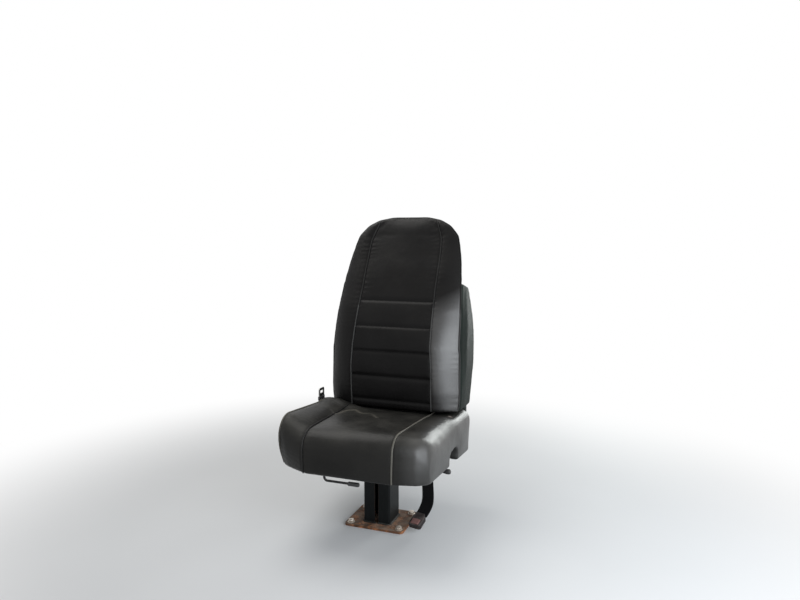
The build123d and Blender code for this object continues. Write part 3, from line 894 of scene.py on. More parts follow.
def dress(nodes: Sequence[str], finish: Finish) -> None:
    """Gives CAD nodes that keep their shape a finish.

    Args:
        nodes: the nodes' names.
        finish: what they wear.
    """
    for name in nodes:
        for slot in frame["nodes"][name].material_slots:
            slot.material = finish.material()
        LOG.info("%s: dressed in %s", name, finish.title)


def axes_to(x: Vector, z: Vector, origin: Vector) -> Matrix:
    """A placing matrix.

    Args:
        x: where the shape's x axis points.
        z: where its z axis points, square to x.
        origin: where its origin goes.

    Returns:
        The matrix.
    """
    x, z = x.normalized(), z.normalized()
    turn = Matrix((x, z.cross(x), z)).transposed()
    return Matrix.Translation(origin) @ turn.to_4x4()


def circle(count: int) -> list[Pair]:
    """Points evenly round a circle of radius 1."""
    turns = [2 * math.pi * i / count for i in range(count)]
    return [(math.cos(turn), math.sin(turn)) for turn in turns]


def lathe(profile: Sequence[Pair], sides: int = 32) -> Shape:
    """A turned shape about the z axis.

    Args:
        profile: (radius, height) from its foot to its top, both of them on the axis.
        sides: how many faces go round it.

    Returns:
        The closed shape.
    """
    shape = Shape([Vector((0, 0, profile[0][1]))])
    rings = profile[1:-1]
    for radius, height in rings:
        shape.points += [Vector((radius * x, radius * y, height)) for x, y in circle(sides)]
    shape.points.append(Vector((0, 0, profile[-1][1])))
    last = len(shape.points) - 1
    for i in range(sides):
        j = (i + 1) % sides
        shape.faces.append((0, 1 + j, 1 + i))
        for ring in range(len(rings) - 1):
            a, b = 1 + ring * sides, 1 + (ring + 1) * sides
            shape.faces.append((a + i, a + j, b + j, b + i))
        top = 1 + (len(rings) - 1) * sides
        shape.faces.append((top + i, top + j, last))
    return shape


def prism(outline: Sequence[Pair], low: float, high: float) -> Shape:
    """An outline drawn out along z.

    Args:
        outline: its corners in x and y, in order round it.
        low: where it starts.
        high: where it ends.

    Returns:
        The closed shape.
    """
    count = len(outline)
    points = [Vector((x, y, z)) for z in (low, high) for x, y in outline]
    faces = [tuple(range(count - 1, -1, -1)), tuple(range(count, 2 * count))]
    faces += [(i, (i + 1) % count, count + (i + 1) % count, count + i) for i in range(count)]
    return Shape(points, faces)


def block(size: Sequence[float], centre: Sequence[float] = (0.0, 0.0, 0.0)) -> Shape:
    """A box.

    Args:
        size: its size along x, y and z.
        centre: its middle.

    Returns:
        The closed shape.
    """
    x, y, z = (s / 2 for s in size)
    outline = [(centre[0] + a * x, centre[1] + b * y) for a, b in ((-1, -1), (1, -1), (1, 1), (-1, 1))]
    return prism(outline, centre[2] - z, centre[2] + z)


def hexagon(across: float) -> list[Pair]:
    """The corners of a hexagon of a width across its flats."""
    radius = across / math.sqrt(3)
    return [(radius * x, radius * y) for x, y in circle(6)]


def bolt_head(across: float, height: float, washer: float, washer_height: float) -> Shape:
    """A hexagon head on its washer, standing on z = 0.

    Args:
        across: the head's width across its flats.
        height: the head's height.
        washer: the washer's radius.
        washer_height: the washer's thickness.

    Returns:
        The shape.
    """
    top, lip = washer_height, washer_height * 0.3
    ring = [(0, 0), (washer, 0), (washer, top - lip), (washer - lip, top), (0, top)]
    head = prism(hexagon(across), top, top + height)
    return lathe(ring, 28).add(head.bevelled(across * 0.05, 2, 50.0))


def lengths_along(line: Sequence[Vector]) -> np.ndarray:
    """How far along a line of straight runs each of its points lies."""
    return np.cumsum([0.0, *((b - a).length for a, b in zip(line, line[1:]))])


def read_along(values: Sequence[Vector], reached: np.ndarray, places: Sequence[float]) -> list[Vector]:
    """Reads vectors that are given along a line at other places along it.

    Args:
        values: the vectors, one for each point of the line.
        reached: how far along the line each point lies.
        places: the lengths to read them at.

    Returns:
        A vector for each place.
    """
    grid = np.array([tuple(v) for v in values])
    return [Vector(v) for v in np.stack([np.interp(places, reached, grid[:, i]) for i in range(3)], axis=1)]


def smooth_line(points: Sequence[Vector], step: float) -> list[Vector]:
    """A smooth line through points, in even steps.

    Args:
        points: what it passes through.
        step: about how far apart the new points are.

    Returns:
        The line's points.
    """
    ends = [points[0] * 2 - points[1], *points, points[-1] * 2 - points[-2]]
    fine: list[Vector] = []
    for a, b, c, d in zip(ends, ends[1:], ends[2:], ends[3:]):
        for i in range(24):
            t = i / 24
            bend = (2 * a - 5 * b + 4 * c - d) * t * t + (3 * b - a - 3 * c + d) * t ** 3
            fine.append((2 * b + (c - a) * t + bend) / 2)
    fine.append(points[-1].copy())
    return even_steps(fine, step)


def even_steps(points: Sequence[Vector], step: float) -> list[Vector]:
    """Spaces the points of a line evenly.

    Args:
        points: the corners of a line of straight runs.
        step: about how far apart the new points are.

    Returns:
        The new points, with the same ends.
    """
    reached = lengths_along(points)
    count = max(2, round(reached[-1] / step) + 1)
    return read_along(points, reached, np.linspace(0.0, reached[-1], count))


def even_bends(line: Sequence[Vector], rounds: int) -> list[Vector]:
    """Takes the jitter out of a line.

    Args:
        line: the points of the line.
        rounds: how often it is evened.

    Returns:
        As many points, with the same ends.
    """
    points = list(line)
    for _ in range(rounds):
        points[1:-1] = [(a + b * 2 + c) / 4 for a, b, c in zip(points, points[1:], points[2:])]
    return points


def skin(rings: int, sides: int) -> list[tuple[int, ...]]:
    """The faces over rings of points, with both ends closed.

    Args:
        rings: how many rings there are.
        sides: how many points each has.

    Returns:
        The faces round the sides, then the first end and the last.
    """
    faces: list[tuple[int, ...]] = []
    for ring in range(rings - 1):
        for k in range(sides):
            a, b = ring * sides + k, ring * sides + (k + 1) % sides
            faces.append((a, b, b + sides, a + sides))
    last = (rings - 1) * sides
    return [*faces, tuple(range(sides - 1, -1, -1)), tuple(range(last, last + sides))]


def tube(line: Sequence[Vector], radius: float, sides: int = 10, wobble: Wobble | None = None) -> Shape:
    """A round tube along a line, with domed ends.

    Args:
        line: its centreline.
        radius: its radius.
        sides: how many faces go round it.
        wobble: what the radius is multiplied by, at a length along the line.

    Returns:
        The closed shape.
    """
    shape = Shape()
    ahead = [(b - a).normalized() for a, b in zip(line, line[1:])]
    ahead = [ahead[0], *[(a + b).normalized() for a, b in zip(ahead, ahead[1:])], ahead[-1]]
    side = ahead[0].orthogonal().normalized()
    stations = [
        (point, direction, radius * (wobble(reached) if wobble else 1.0))
        for point, direction, reached in zip(line, ahead, lengths_along(line))
    ]
    domes = [(0.98, 0.2), (0.8, 0.6), (0.45, 0.9)]
    ends = []
    for (point, ahead_of, size), way in ((stations[0], -1), (stations[-1], 1)):
        ends.append([(point + ahead_of * size * (way * out), ahead_of, size * share) for share, out in domes])
    for point, direction, size in [*reversed(ends[0]), *stations, *ends[1]]:
        side = (side - direction * side.dot(direction)).normalized()
        up = direction.cross(side)
        shape.points += [point + (side * x + up * y) * size for x, y in circle(sides)]
    shape.faces = skin(len(shape.points) // sides, sides)
    return shape


def stitches(
    line: Sequence[Vector], out: Sequence[Vector], length: float, gap: float, radius: float
) -> Shape:
    """A row of thread stitches that bow off a cover.

    Args:
        line: points along the row.
        out: the cover's normal at each point.
        length: a stitch's length.
        gap: the space between two stitches.
        radius: the thread's radius.

    Returns:
        The stitches as one shape.
    """
    shape, reached = Shape(), lengths_along(line)
    bow = ((0.0, -0.6), (0.25, 0.7), (0.75, 0.7), (1.0, -0.6))
    for start in np.arange(gap, reached[-1] - length, length + gap):
        places = [start + share * length for share, _ in bow]
        spots, normals = (read_along(values, reached, places) for values in (line, out))
        bowed = [spot + normal * (radius * lift) for spot, normal, (_, lift) in zip(spots, normals, bow)]
        shape.add(tube(bowed, radius, 5))
    return shape


# Soft covers


def ramp(values: np.ndarray, low: np.ndarray | float, over: float) -> np.ndarray:
    """Values brought from low..low + over to 0..1."""
    return np.clip((values - low) / over, 0.0, 1.0)


def near(far: np.ndarray, width: float) -> np.ndarray:
    """1 where a distance is 0, falling off softly over a width."""
    return np.exp(-((far / width) ** 2))


@dataclass
class SeamLine:
    """A seam on a cover: the line it is laid along, before it is pressed onto the cover."""

    kind: Seam
    guide: list[Vector]
    # A worn piping is painted pale: rubbed wear, and a painted highlight along it.
    worn: bool = False
    points: list[Vector] = field(default_factory=list)
    normals: list[Vector] = field(default_factory=list)

    STEP = 0.004
    PRESSINGS = 4
    EVENINGS = 5
    # How many points to each side a normal is averaged over
    SPREAD = 3

    def press(self, tree: BVHTree) -> None:
        """Lays the seam on a cover, and evens it out there.

        Args:
            tree: the cover's faces.
        """
        line = smooth_line(self.guide, self.STEP)
        for _ in range(self.PRESSINGS):
            found = [tree.find_nearest(spot) for spot in line]
            self.points = [hit for hit, _, _, _ in found]
            line = even_bends(self.points, self.EVENINGS)
        normals = [normal for _, normal, _, _ in found]
        spans = [normals[max(0, i - self.SPREAD) : i + self.SPREAD + 1] for i in range(len(normals))]
        self.normals = [sum(span, Vector()).normalized() for span in spans]


class MeshArrays:
    """A mesh's points, edges and normals as arrays."""

    def __init__(self, data: bpy.types.Mesh) -> None:
        """Reads a mesh.

        Args:
            data: the mesh, which write() changes.
        """
        self.data = data
        self.points = self.read(data.vertices, "co", 3)
        self.edges = self.read(data.edges, "vertices", 2, int)
        self.degree = np.bincount(self.edges.ravel(), minlength=len(self.points))[:, None]

    def read(
        self, items: bpy.types.bpy_prop_collection, name: str, width: int, kind: type = float
    ) -> np.ndarray:
        """Reads a property of all points or edges.

        Args:
            items: the points or edges.
            name: the property.
            width: how many values each has.
            kind: the values' type.

        Returns:
            A row of values for each.
        """
        values = np.zeros(len(items) * width, dtype=kind)
        items.foreach_get(name, values)
        return values.reshape(-1, width)

    def normals(self) -> np.ndarray:
        """The normals of the mesh as it was last written."""
        return self.read(self.data.vertices, "normal", 3)

    def averaged(self, values: np.ndarray) -> np.ndarray:
        """Averages values over neighbours.

        Args:
            values: a row for each point.

        Returns:
            For each point, the average of its neighbours' rows.
        """
        total = np.zeros_like(values)
        for here, there in ((0, 1), (1, 0)):
            np.add.at(total, self.edges[:, here], values[self.edges[:, there]])
        return total / np.maximum(self.degree, 1)

    def rounded(self, rounds: int, weight: np.ndarray | float = 1.0) -> None:
        """Rounds the form off without shrinking it.

        Args:
            rounds: how often it is rounded.
            weight: how much each point takes part, from 0 to 1.
        """
        for _ in range(rounds):
            for share in (0.6, -0.61):
                self.points += share * weight * (self.averaged(self.points) - self.points)

    def write(self) -> None:
        """Writes the points back to the mesh."""
        self.data.vertices.foreach_set("co", self.points.ravel())
        self.data.update()


@dataclass
class Upholstery:
    """A foam piece in a sewn vinyl cover. It starts as its CAD solid, is swollen as cloth
    that its seams hold down, and is then sewn, piped and stitched."""

    name: str
    node: str
    body: str
    finish: Finish
    fill: float
    voxel: float = 0.0066
    rounding: int = 9
    pressure: float = 4.0
    swell: float = 0.009
    seam_hold: float = 0.006
    worn_highlit_piping: Finish | None = None
    pipe_radius: float = 0.0026
    frames: int = 20
    calm: int = 2
    rubs: tuple[tuple[float, float, float, float], ...] = ()

    # How each seam shapes the cover: its depth, and how wide its groove is
    GROOVES = {
        Seam.PIPED: (0.0022, 0.0060),
        Seam.CHANNEL: (0.0042, 0.0075),
        Seam.CREASE: (-0.0016, 0.0040),
    }
    # How far the painted groove shade and the crease marks reach from their lines
    GROOVE_MARK = 0.0035
    CREASE_MARK = 0.005
    PUCKER = 0.0007
    PUCKER_EVERY = 0.021
    PUCKER_CLEAR = 0.006
    PUCKER_REACH = 0.020
    # A stitch's length, the gap to the next one, and the thread's radius
    STITCH = (0.0052, 0.0018, 0.0005)

    def seams(self) -> list[SeamLine]:
        """The seams of the cover."""
        raise NotImplementedError

    def held(self, points: np.ndarray, normals: np.ndarray) -> np.ndarray:
        """Which points rest on metal or foam, so that they can't swell."""
        raise NotImplementedError

    def start(self) -> bpy.types.Mesh:
        """Copies the solid, with its split corners joined.

        Returns:
            The mesh that the foam is grown from.
        """
        data = frame["nodes"][self.node].data.copy()
        mesh = bmesh.new()
        mesh.from_mesh(data)
        bmesh.ops.remove_doubles(mesh, verts=mesh.verts, dist=1e-5)
        mesh.to_mesh(data)
        mesh.free()
        return data

    def applied(self, piece: bpy.types.Object) -> bpy.types.Mesh:
        """Applies a piece's modifiers.

        Args:
            piece: the piece, which keeps them.

        Returns:
            The mesh that they make.
        """
        bpy.context.view_layer.update()
        graph = bpy.context.evaluated_depsgraph_get()
        return bpy.data.meshes.new_from_object(piece.evaluated_get(graph), depsgraph=graph)

    def foam(self) -> bpy.types.Object:
        """Makes the solid even, forms it further and rounds its edges off.

        Returns:
            The foam.
        """
        piece = linked(self.name, self.start())
        remesh = piece.modifiers.new("even", "REMESH")
        remesh.mode, remesh.voxel_size = "VOXEL", self.voxel
        piece.data = self.applied(piece)
        piece.modifiers.clear()
        arrays = MeshArrays(piece.data)
        self.form(arrays)
        arrays.rounded(self.rounding)
        arrays.write()
        return piece

    def form(self, arrays: MeshArrays) -> None:
        """Forms the foam further than its solid, before its edges are rounded off."""

    def polished(self, points: np.ndarray) -> np.ndarray:
        """How far each point is rubbed smooth by use."""
        return np.zeros(len(points))

    def press(self, piece: bpy.types.Object, seams: list[SeamLine]) -> None:
        """Lays every seam on a piece.

        Args:
            piece: the piece as it now is.
            seams: its seams.
        """
        tree = BVHTree.FromObject(piece, bpy.context.evaluated_depsgraph_get())
        for seam in seams:
            seam.press(tree)

    def simulate(self, piece: bpy.types.Object, seams: list[SeamLine]) -> None:
        """Swells the cover as cloth under pressure, held at its seams and where it rests.

        Args:
            piece: the foam.
            seams: its seams, already pressed.
        """
        arrays = MeshArrays(piece.data)
        rest = arrays.points.copy()
        pinned = self.held(rest, arrays.normals())
        far = self.nearest(rest, [s for s in seams if s.kind is not Seam.CREASE])[0]
        pinned |= far < self.seam_hold
        group = piece.vertex_groups.new(name="held")
        group.add([int(i) for i in np.flatnonzero(pinned)], 1.0, "REPLACE")
        cloth = piece.modifiers.new("cover", "CLOTH")
        settings = cloth.settings
        settings.quality = 4
        settings.mass = 0.25
        settings.tension_stiffness = settings.compression_stiffness = 12.0
        settings.bending_stiffness = 2.0
        settings.use_pressure = True
        settings.uniform_pressure_force = self.pressure
        settings.effector_weights.gravity = 0.0
        settings.vertex_group_mass = group.name
        cloth.collision_settings.use_collision = False
        cloth.collision_settings.use_self_collision = False
        cloth.point_cache.frame_start, cloth.point_cache.frame_end = 1, self.frames
        for step in range(1, self.frames + 1):
            bpy.context.scene.frame_set(step)
        swollen = MeshArrays(self.applied(piece)).points
        piece.modifiers.clear()
        piece.vertex_groups.clear()
        bpy.context.scene.frame_set(1)
        move = swollen - rest
        reach = np.linalg.norm(move, axis=1, keepdims=True)
        move *= np.minimum(1.0, self.swell / np.maximum(reach, 1e-9))
        for _ in range(self.calm):
            move += 0.5 * (arrays.averaged(move) - move)
        arrays.points = rest + move
        arrays.write()
        LOG.info("%s: swollen by up to %.1f mm", self.name, 1000 * float(reach.max()))

    def nearest(self, points: np.ndarray, seams: list[SeamLine]) -> tuple[np.ndarray, ...]:
        """Finds the nearest seam of each point.

        Args:
            points: the points of the cover.
            seams: the seams to look at, already pressed.

        Returns:
            Each point's distance to its seam, the seam's place in the list, and the
            length along it.
        """
        spots = [(p, number, step) for number, s in enumerate(seams) for step, p in enumerate(s.points)]
        tree = KDTree(len(spots))
        for i, (spot, _, _) in enumerate(spots):
            tree.insert(spot, i)
        tree.balance()
        found = [tree.find(p)[1:] for p in points]
        which = np.array([f[0] for f in found])
        far = np.array([f[1] for f in found])
        numbers = np.array([s[1] for s in spots])[which]
        along = np.array([s[2] for s in spots])[which] * SeamLine.STEP
        return far, numbers, along

    def sew(self, piece: bpy.types.Object, seams: list[SeamLine]) -> None:
        """Presses grooves, puckers and creases into the finer cover, and marks its seams.

        Args:
            piece: the foam.
            seams: its seams.
        """
        piece.modifiers.new("finer", "SUBSURF").levels = 1
        piece.data = self.applied(piece)
        piece.modifiers.clear()
        self.press(piece, seams)
        arrays = MeshArrays(piece.data)
        far, numbers, along = self.nearest(arrays.points, seams)
        shapes = np.array([self.GROOVES[s.kind] for s in seams])
        depth, width = shapes[numbers].T
        press = depth * near(far, width)
        sewn = np.array([s.kind is not Seam.CREASE for s in seams])[numbers]
        phase = np.array([noise.noise(Vector(p) * 9.0) for p in arrays.points])
        ripple = np.sin(2 * math.pi * along / self.PUCKER_EVERY + 5.0 * phase)
        reach = (1 - near(far, self.PUCKER_CLEAR)) * np.exp(-far / self.PUCKER_REACH)
        press += sewn * self.PUCKER * ripple * reach * (0.5 + phase)
        arrays.points -= arrays.normals() * press[:, None]
        arrays.write()
        uneven = np.clip(0.5 + 1.6 * phase, 0.0, 1.0)
        rub = np.zeros(len(far))
        for *spot, radius in self.rubs:
            away = np.linalg.norm(arrays.points - np.array(spot), axis=1) / radius
            rub = np.maximum(rub, np.exp(-(away**4)))
        marks = {
            # The seam mark carries the painted shade along the grooves.
            "seam": np.where(sewn, near(far, self.GROOVE_MARK), 0.0),
            "crease": np.where(sewn, 0.0, near(far, self.CREASE_MARK) * uneven),
            "rub": rub,
            "polish": self.polished(arrays.points),
        }
        for name, values in marks.items():
            layer = piece.data.attributes.new(name, "FLOAT", "POINT")
            layer.data.foreach_set("value", values.astype(np.float32))

    def pipe_wobble(self, number: int) -> Wobble:
        """How a sewn piping's radius varies along it, otherwise at each seam."""
        return lambda s: 1 + 0.05 * math.sin(s * 95 + number) * math.sin(s * 41)

    def trim(self, piece: bpy.types.Object, seams: list[SeamLine]) -> None:
        """Lays piping along the piped seams, and stitches along the channels.

        Args:
            piece: the sewn cover.
            seams: its seams.
        """
        self.press(piece, seams)
        piping, worn_highlit_piping, thread = Shape(), Shape(), Shape()
        for number, seam in enumerate(seams):
            if seam.kind is Seam.PIPED:
                lift = self.pipe_radius * 0.45
                line = even_bends([p + n * lift for p, n in zip(seam.points, seam.normals)], 4)
                cord = tube(line, self.pipe_radius, 12, self.pipe_wobble(number))
                (worn_highlit_piping if seam.worn else piping).add(cord)
            elif seam.kind is Seam.CHANNEL:
                thread.add(stitches(seam.points, seam.normals, *self.STITCH))
        trims = (
            ("piping", piping, PIPING),
            ("worn_highlit_piping", worn_highlit_piping, self.worn_highlit_piping),
            ("thread", thread, THREAD),
        )
        for title, shape, finish in trims:
            if shape.points:
                mount(shape.build(f"{self.name}_{title}", finish, 180.0), self.body)

    def build(self) -> None:
        """Makes the piece and its trim."""
        seams = self.seams()
        piece = self.foam()
        self.press(piece, seams)
        self.simulate(piece, seams)
        self.press(piece, seams)
        self.sew(piece, seams)
        data = piece.data
        bpy.data.objects.remove(piece)
        cover = show(data, self.name, self.finish)
        mount(cover, self.body, [self.node])
        self.trim(cover, seams)


@dataclass
class BackPad(Upholstery):
    """The back's front pad: a channelled centre panel between two bolsters, with a plain
    headrest above."""

    panel_edge: tuple[Triple, ...] = (
        (0.160, 0.090, 0.400),
        (0.160, 0.086, 0.470),
        (0.160, 0.086, 0.560),
        (0.156, 0.083, 0.630),
        (0.153, 0.111, 0.706),
        (0.151, 0.142, 0.784),
        (0.148, 0.195, 0.870),
        (0.148, 0.240, 0.960),
        (0.145, 0.272, 1.035),
        (0.124, 0.300, 1.092),
        (0.104, 0.345, 1.118),
        (0.100, 0.368, 1.098),
        (0.112, 0.372, 1.020),
        (0.128, 0.345, 0.930),
        (0.140, 0.318, 0.860),
    )
    outer_edge: tuple[Triple, ...] = (
        (0.258, 0.134, 0.404),
        (0.262, 0.134, 0.474),
        (0.260, 0.136, 0.560),
        (0.258, 0.139, 0.640),
        (0.255, 0.156, 0.710),
        (0.250, 0.178, 0.775),
        (0.245, 0.198, 0.830),
        (0.236, 0.228, 0.900),
        (0.228, 0.257, 0.966),
        (0.208, 0.291, 1.051),
        (0.172, 0.305, 1.091),
        (0.130, 0.316, 1.112),
        (0.070, 0.327, 1.123),
        (0.0, 0.330, 1.125),
    )
    # The point of both edges from which the piping is no longer painted pale for rubbed wear and a painted
    # highlight
    shoulder: int = 5
    channels: tuple[float, ...] = (0.804, 0.710, 0.616, 0.521, 0.430)
    polish_top: float = 0.84

    def seams(self) -> list[SeamLine]:
        """Pipes the panel and the outside, and sews the panel's channels.

        Returns:
            The seams.
        """
        whole = [Vector(p) for p in self.outer_edge[self.shoulder :]]
        whole += [Vector((-x, y, z)) for x, y, z in reversed(self.outer_edge[self.shoulder : -1])]
        lines = [SeamLine(Seam.PIPED, whole)]
        for side in Side:
            for edge in (self.panel_edge, self.outer_edge):
                line = [Vector((side.value * x, y, z)) for x, y, z in edge]
                # The lower piping is painted pale, for rubbed wear and a painted highlight.
                lines.append(SeamLine(Seam.PIPED, line[: self.shoulder + 1], worn=True))
                if edge is self.panel_edge:
                    lines.append(SeamLine(Seam.PIPED, line[self.shoulder :]))
        edge = np.array(self.panel_edge[:9])
        for height in self.channels:
            half = float(np.interp(height, edge[:, 2], edge[:, 0]))
            depth = float(np.interp(height, edge[:, 2], edge[:, 1]))
            share = np.linspace(-1.0, 1.0, 9)
            lines.append(SeamLine(Seam.CHANNEL, [Vector((half * s, depth, height)) for s in share]))
        return lines

    def polished(self, points: np.ndarray) -> np.ndarray:
        """Polishes the left bolster, up to the shoulder.

        Args:
            points: the points of the cover.

        Returns:
            How far each point is polished.
        """
        x, _, z = points.T
        edge = np.array(self.panel_edge[:9])
        inner = np.interp(z, edge[:, 2], edge[:, 0])
        return ramp(x, inner, 0.006) * ramp(self.polish_top + 0.5 * (x - 0.2), z, 0.08)

    def held(self, points: np.ndarray, normals: np.ndarray) -> np.ndarray:
        """Holds the foot, and the rear where the boxing backs it."""
        rear = (normals[:, 1] > 0.6) & (points[:, 2] < 0.84)
        return (normals[:, 2] < -0.7) | rear


@dataclass
class CushionPad(Upholstery):
    """The seat cushion: a plain centre panel between two bolsters, wrapped down over the
    front edge. The right bolster stands proud, and the left one is sat down."""

    panel_half: float = 0.156
    left_panel: tuple[Pair, ...] = (
        (0.235, 0.378),
        (0.150, 0.384),
        (0.074, 0.391),
        (-0.088, 0.407),
        (-0.199, 0.416),
        (-0.248, 0.416),
        (-0.288, 0.407),
        (-0.304, 0.384),
        (-0.309, 0.340),
        (-0.312, 0.300),
        (-0.312, 0.272),
    )
    right_panel: tuple[Pair, ...] = (
        (0.235, 0.378),
        (0.150, 0.388),
        (0.062, 0.394),
        (-0.100, 0.405),
        (-0.200, 0.408),
        (-0.250, 0.405),
        (-0.292, 0.396),
        (-0.316, 0.376),
        (-0.322, 0.340),
        (-0.316, 0.304),
        (-0.306, 0.272),
    )
    right_side: tuple[Triple, ...] = (
        (-0.258, 0.236, 0.366),
        (-0.258, 0.150, 0.384),
        (-0.258, 0.086, 0.394),
        (-0.258, 0.040, 0.422),
        (-0.257, -0.040, 0.437),
        (-0.256, -0.131, 0.447),
        (-0.256, -0.213, 0.448),
        (-0.256, -0.261, 0.440),
        (-0.256, -0.284, 0.412),
        (-0.257, -0.286, 0.380),
        (-0.259, -0.268, 0.325),
        (-0.260, -0.246, 0.274),
    )
    creases: tuple[tuple[Pair, ...], ...] = (
        ((-0.181, -0.054), (-0.140, -0.080), (-0.134, -0.023), (-0.104, 0.002)),
        ((-0.104, 0.002), (-0.054, -0.048), (-0.035, -0.028), (0.017, -0.088)),
    )
    crease_height: float = 0.398
    hump: Pair = (-0.195, 0.058)
    hump_reach: Pair = (0.078, 0.040)
    hump_height: float = 0.022
    under_back: float = 0.3965
    left_rounding: int = 34
    side_bulge: float = 0.005
    side_bulge_height: float = 0.335
    skirt_fall: float = 0.0948

    def start(self) -> bpy.types.Mesh:
        """Shears the solid, so that its falling skirt lies level while it is made even.

        Returns:
            The sheared mesh, which form() shears back.
        """
        data = super().start()
        arrays = MeshArrays(data)
        arrays.points[:, 2] += self.skirt_fall * arrays.points[:, 1]
        arrays.write()
        return data

    def seams(self) -> list[SeamLine]:
        """Pipes the panel and the right side, and sits creases into the top.

        Returns:
            The seams.
        """
        lines = []
        for side, edge in ((Side.LEFT, self.left_panel), (Side.RIGHT, self.right_panel)):
            inner = [Vector((side.value * self.panel_half, y, z)) for y, z in edge]
            # The left inner piping and the right side's piping are painted pale, for wear and a painted highlight.
            lines.append(SeamLine(Seam.PIPED, inner, worn=side is Side.LEFT))
        lines.append(SeamLine(Seam.PIPED, [Vector(p) for p in self.right_side], worn=True))
        for crease in self.creases:
            lines.append(SeamLine(Seam.CREASE, [Vector((x, y, self.crease_height)) for x, y in crease]))
        return lines

    def polished(self, points: np.ndarray) -> np.ndarray:
        """Polishes the left bolster's edge and side, fading towards the panel."""
        edge = ramp(points[:, 0] - self.panel_half, 0.02, 0.055)
        return edge * (1.0 - 0.35 * ramp(points[:, 1], -0.2, 0.2))

    def form(self, arrays: MeshArrays) -> None:
        """Heaps the right bolster up before the back, and softens and fills the left one.

        Args:
            arrays: the foam's points, still sheared.
        """
        x, y, z = arrays.points.T
        z -= self.skirt_fall * y
        (hump_x, hump_y), (reach_x, reach_y) = self.hump, self.hump_reach
        away = ((x - hump_x) / reach_x) ** 2 + ((y - hump_y) / reach_y) ** 2
        z += np.where(z > 0.36, self.hump_height * np.exp(-away), 0.0)
        back_front = 0.088 + 0.43 * np.clip(np.abs(x) - 0.16, 0.0, 0.1)
        z[:] = np.minimum(z, self.under_back + 1.5 * np.clip(back_front - y, 0.0, 1.0))
        soft = ramp(x, 0.215, 0.02) * ramp(z, 0.325, 0.03)
        rear_corner = ramp(x, 0.2, 0.02) * ramp(y, 0.15, 0.03)
        arrays.rounded(self.left_rounding, np.maximum(soft, rear_corner * (z > 0.3))[:, None])
        full = near(z - self.side_bulge_height, 0.05) * ramp(y, -0.02, 0.1)
        x += self.side_bulge * full * ramp(x, 0.2, 0.05)

    def held(self, points: np.ndarray, normals: np.ndarray) -> np.ndarray:
        """Holds what faces down, the pocket over the pan, and what lies under the back.

        Args:
            points: the foam's points.
            normals: their normals.

        Returns:
            Whether each point is held.
        """
        pan_low, pan_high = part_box("seat_pan")
        pocket = (points[:, 2] < pan_high.z + 0.012) & (np.abs(points[:, 0]) < pan_high.x + 0.03)
        pocket &= points[:, 1] > pan_low.y - 0.03
        under_back = (points[:, 1] > 0.06) & (normals[:, 2] > 0.3)
        return (normals[:, 2] < -0.5) | pocket | under_back


@dataclass
class BoxingRow:
    """A level section of the rear boxing. Its sides reach forward to the pad's edge."""

    height: float
    half: float
    rear: float
    corner: float
    tip: Pair
    root: Pair
    rake: float = 0.0

    TUCK = 0.012
    FLARE = 0.045

    def rear_height(self) -> float:
        """The height of the section's rear edge."""
        return self.height + self.rake * (self.rear - self.tip[1])

    def outline(self) -> list[Vector]:
        """Draws the section.

        Returns:
            Its corners, in order round it.
        """
        right = [
            (self.tip[0] - self.TUCK, self.tip[1]),
            self.tip,
            (self.half, self.tip[1] + self.FLARE),
            (self.half, self.rear - self.corner),
            (self.half - self.corner, self.rear),
        ]
        inside = (self.root[0] - self.TUCK, self.root[1] - self.TUCK / 2)
        ring = [inside, *right]
        ring += [(-x, y) for x, y in reversed(ring)]
        return [Vector((x, y, self.height + self.rake * (y - self.tip[1]))) for x, y in ring]


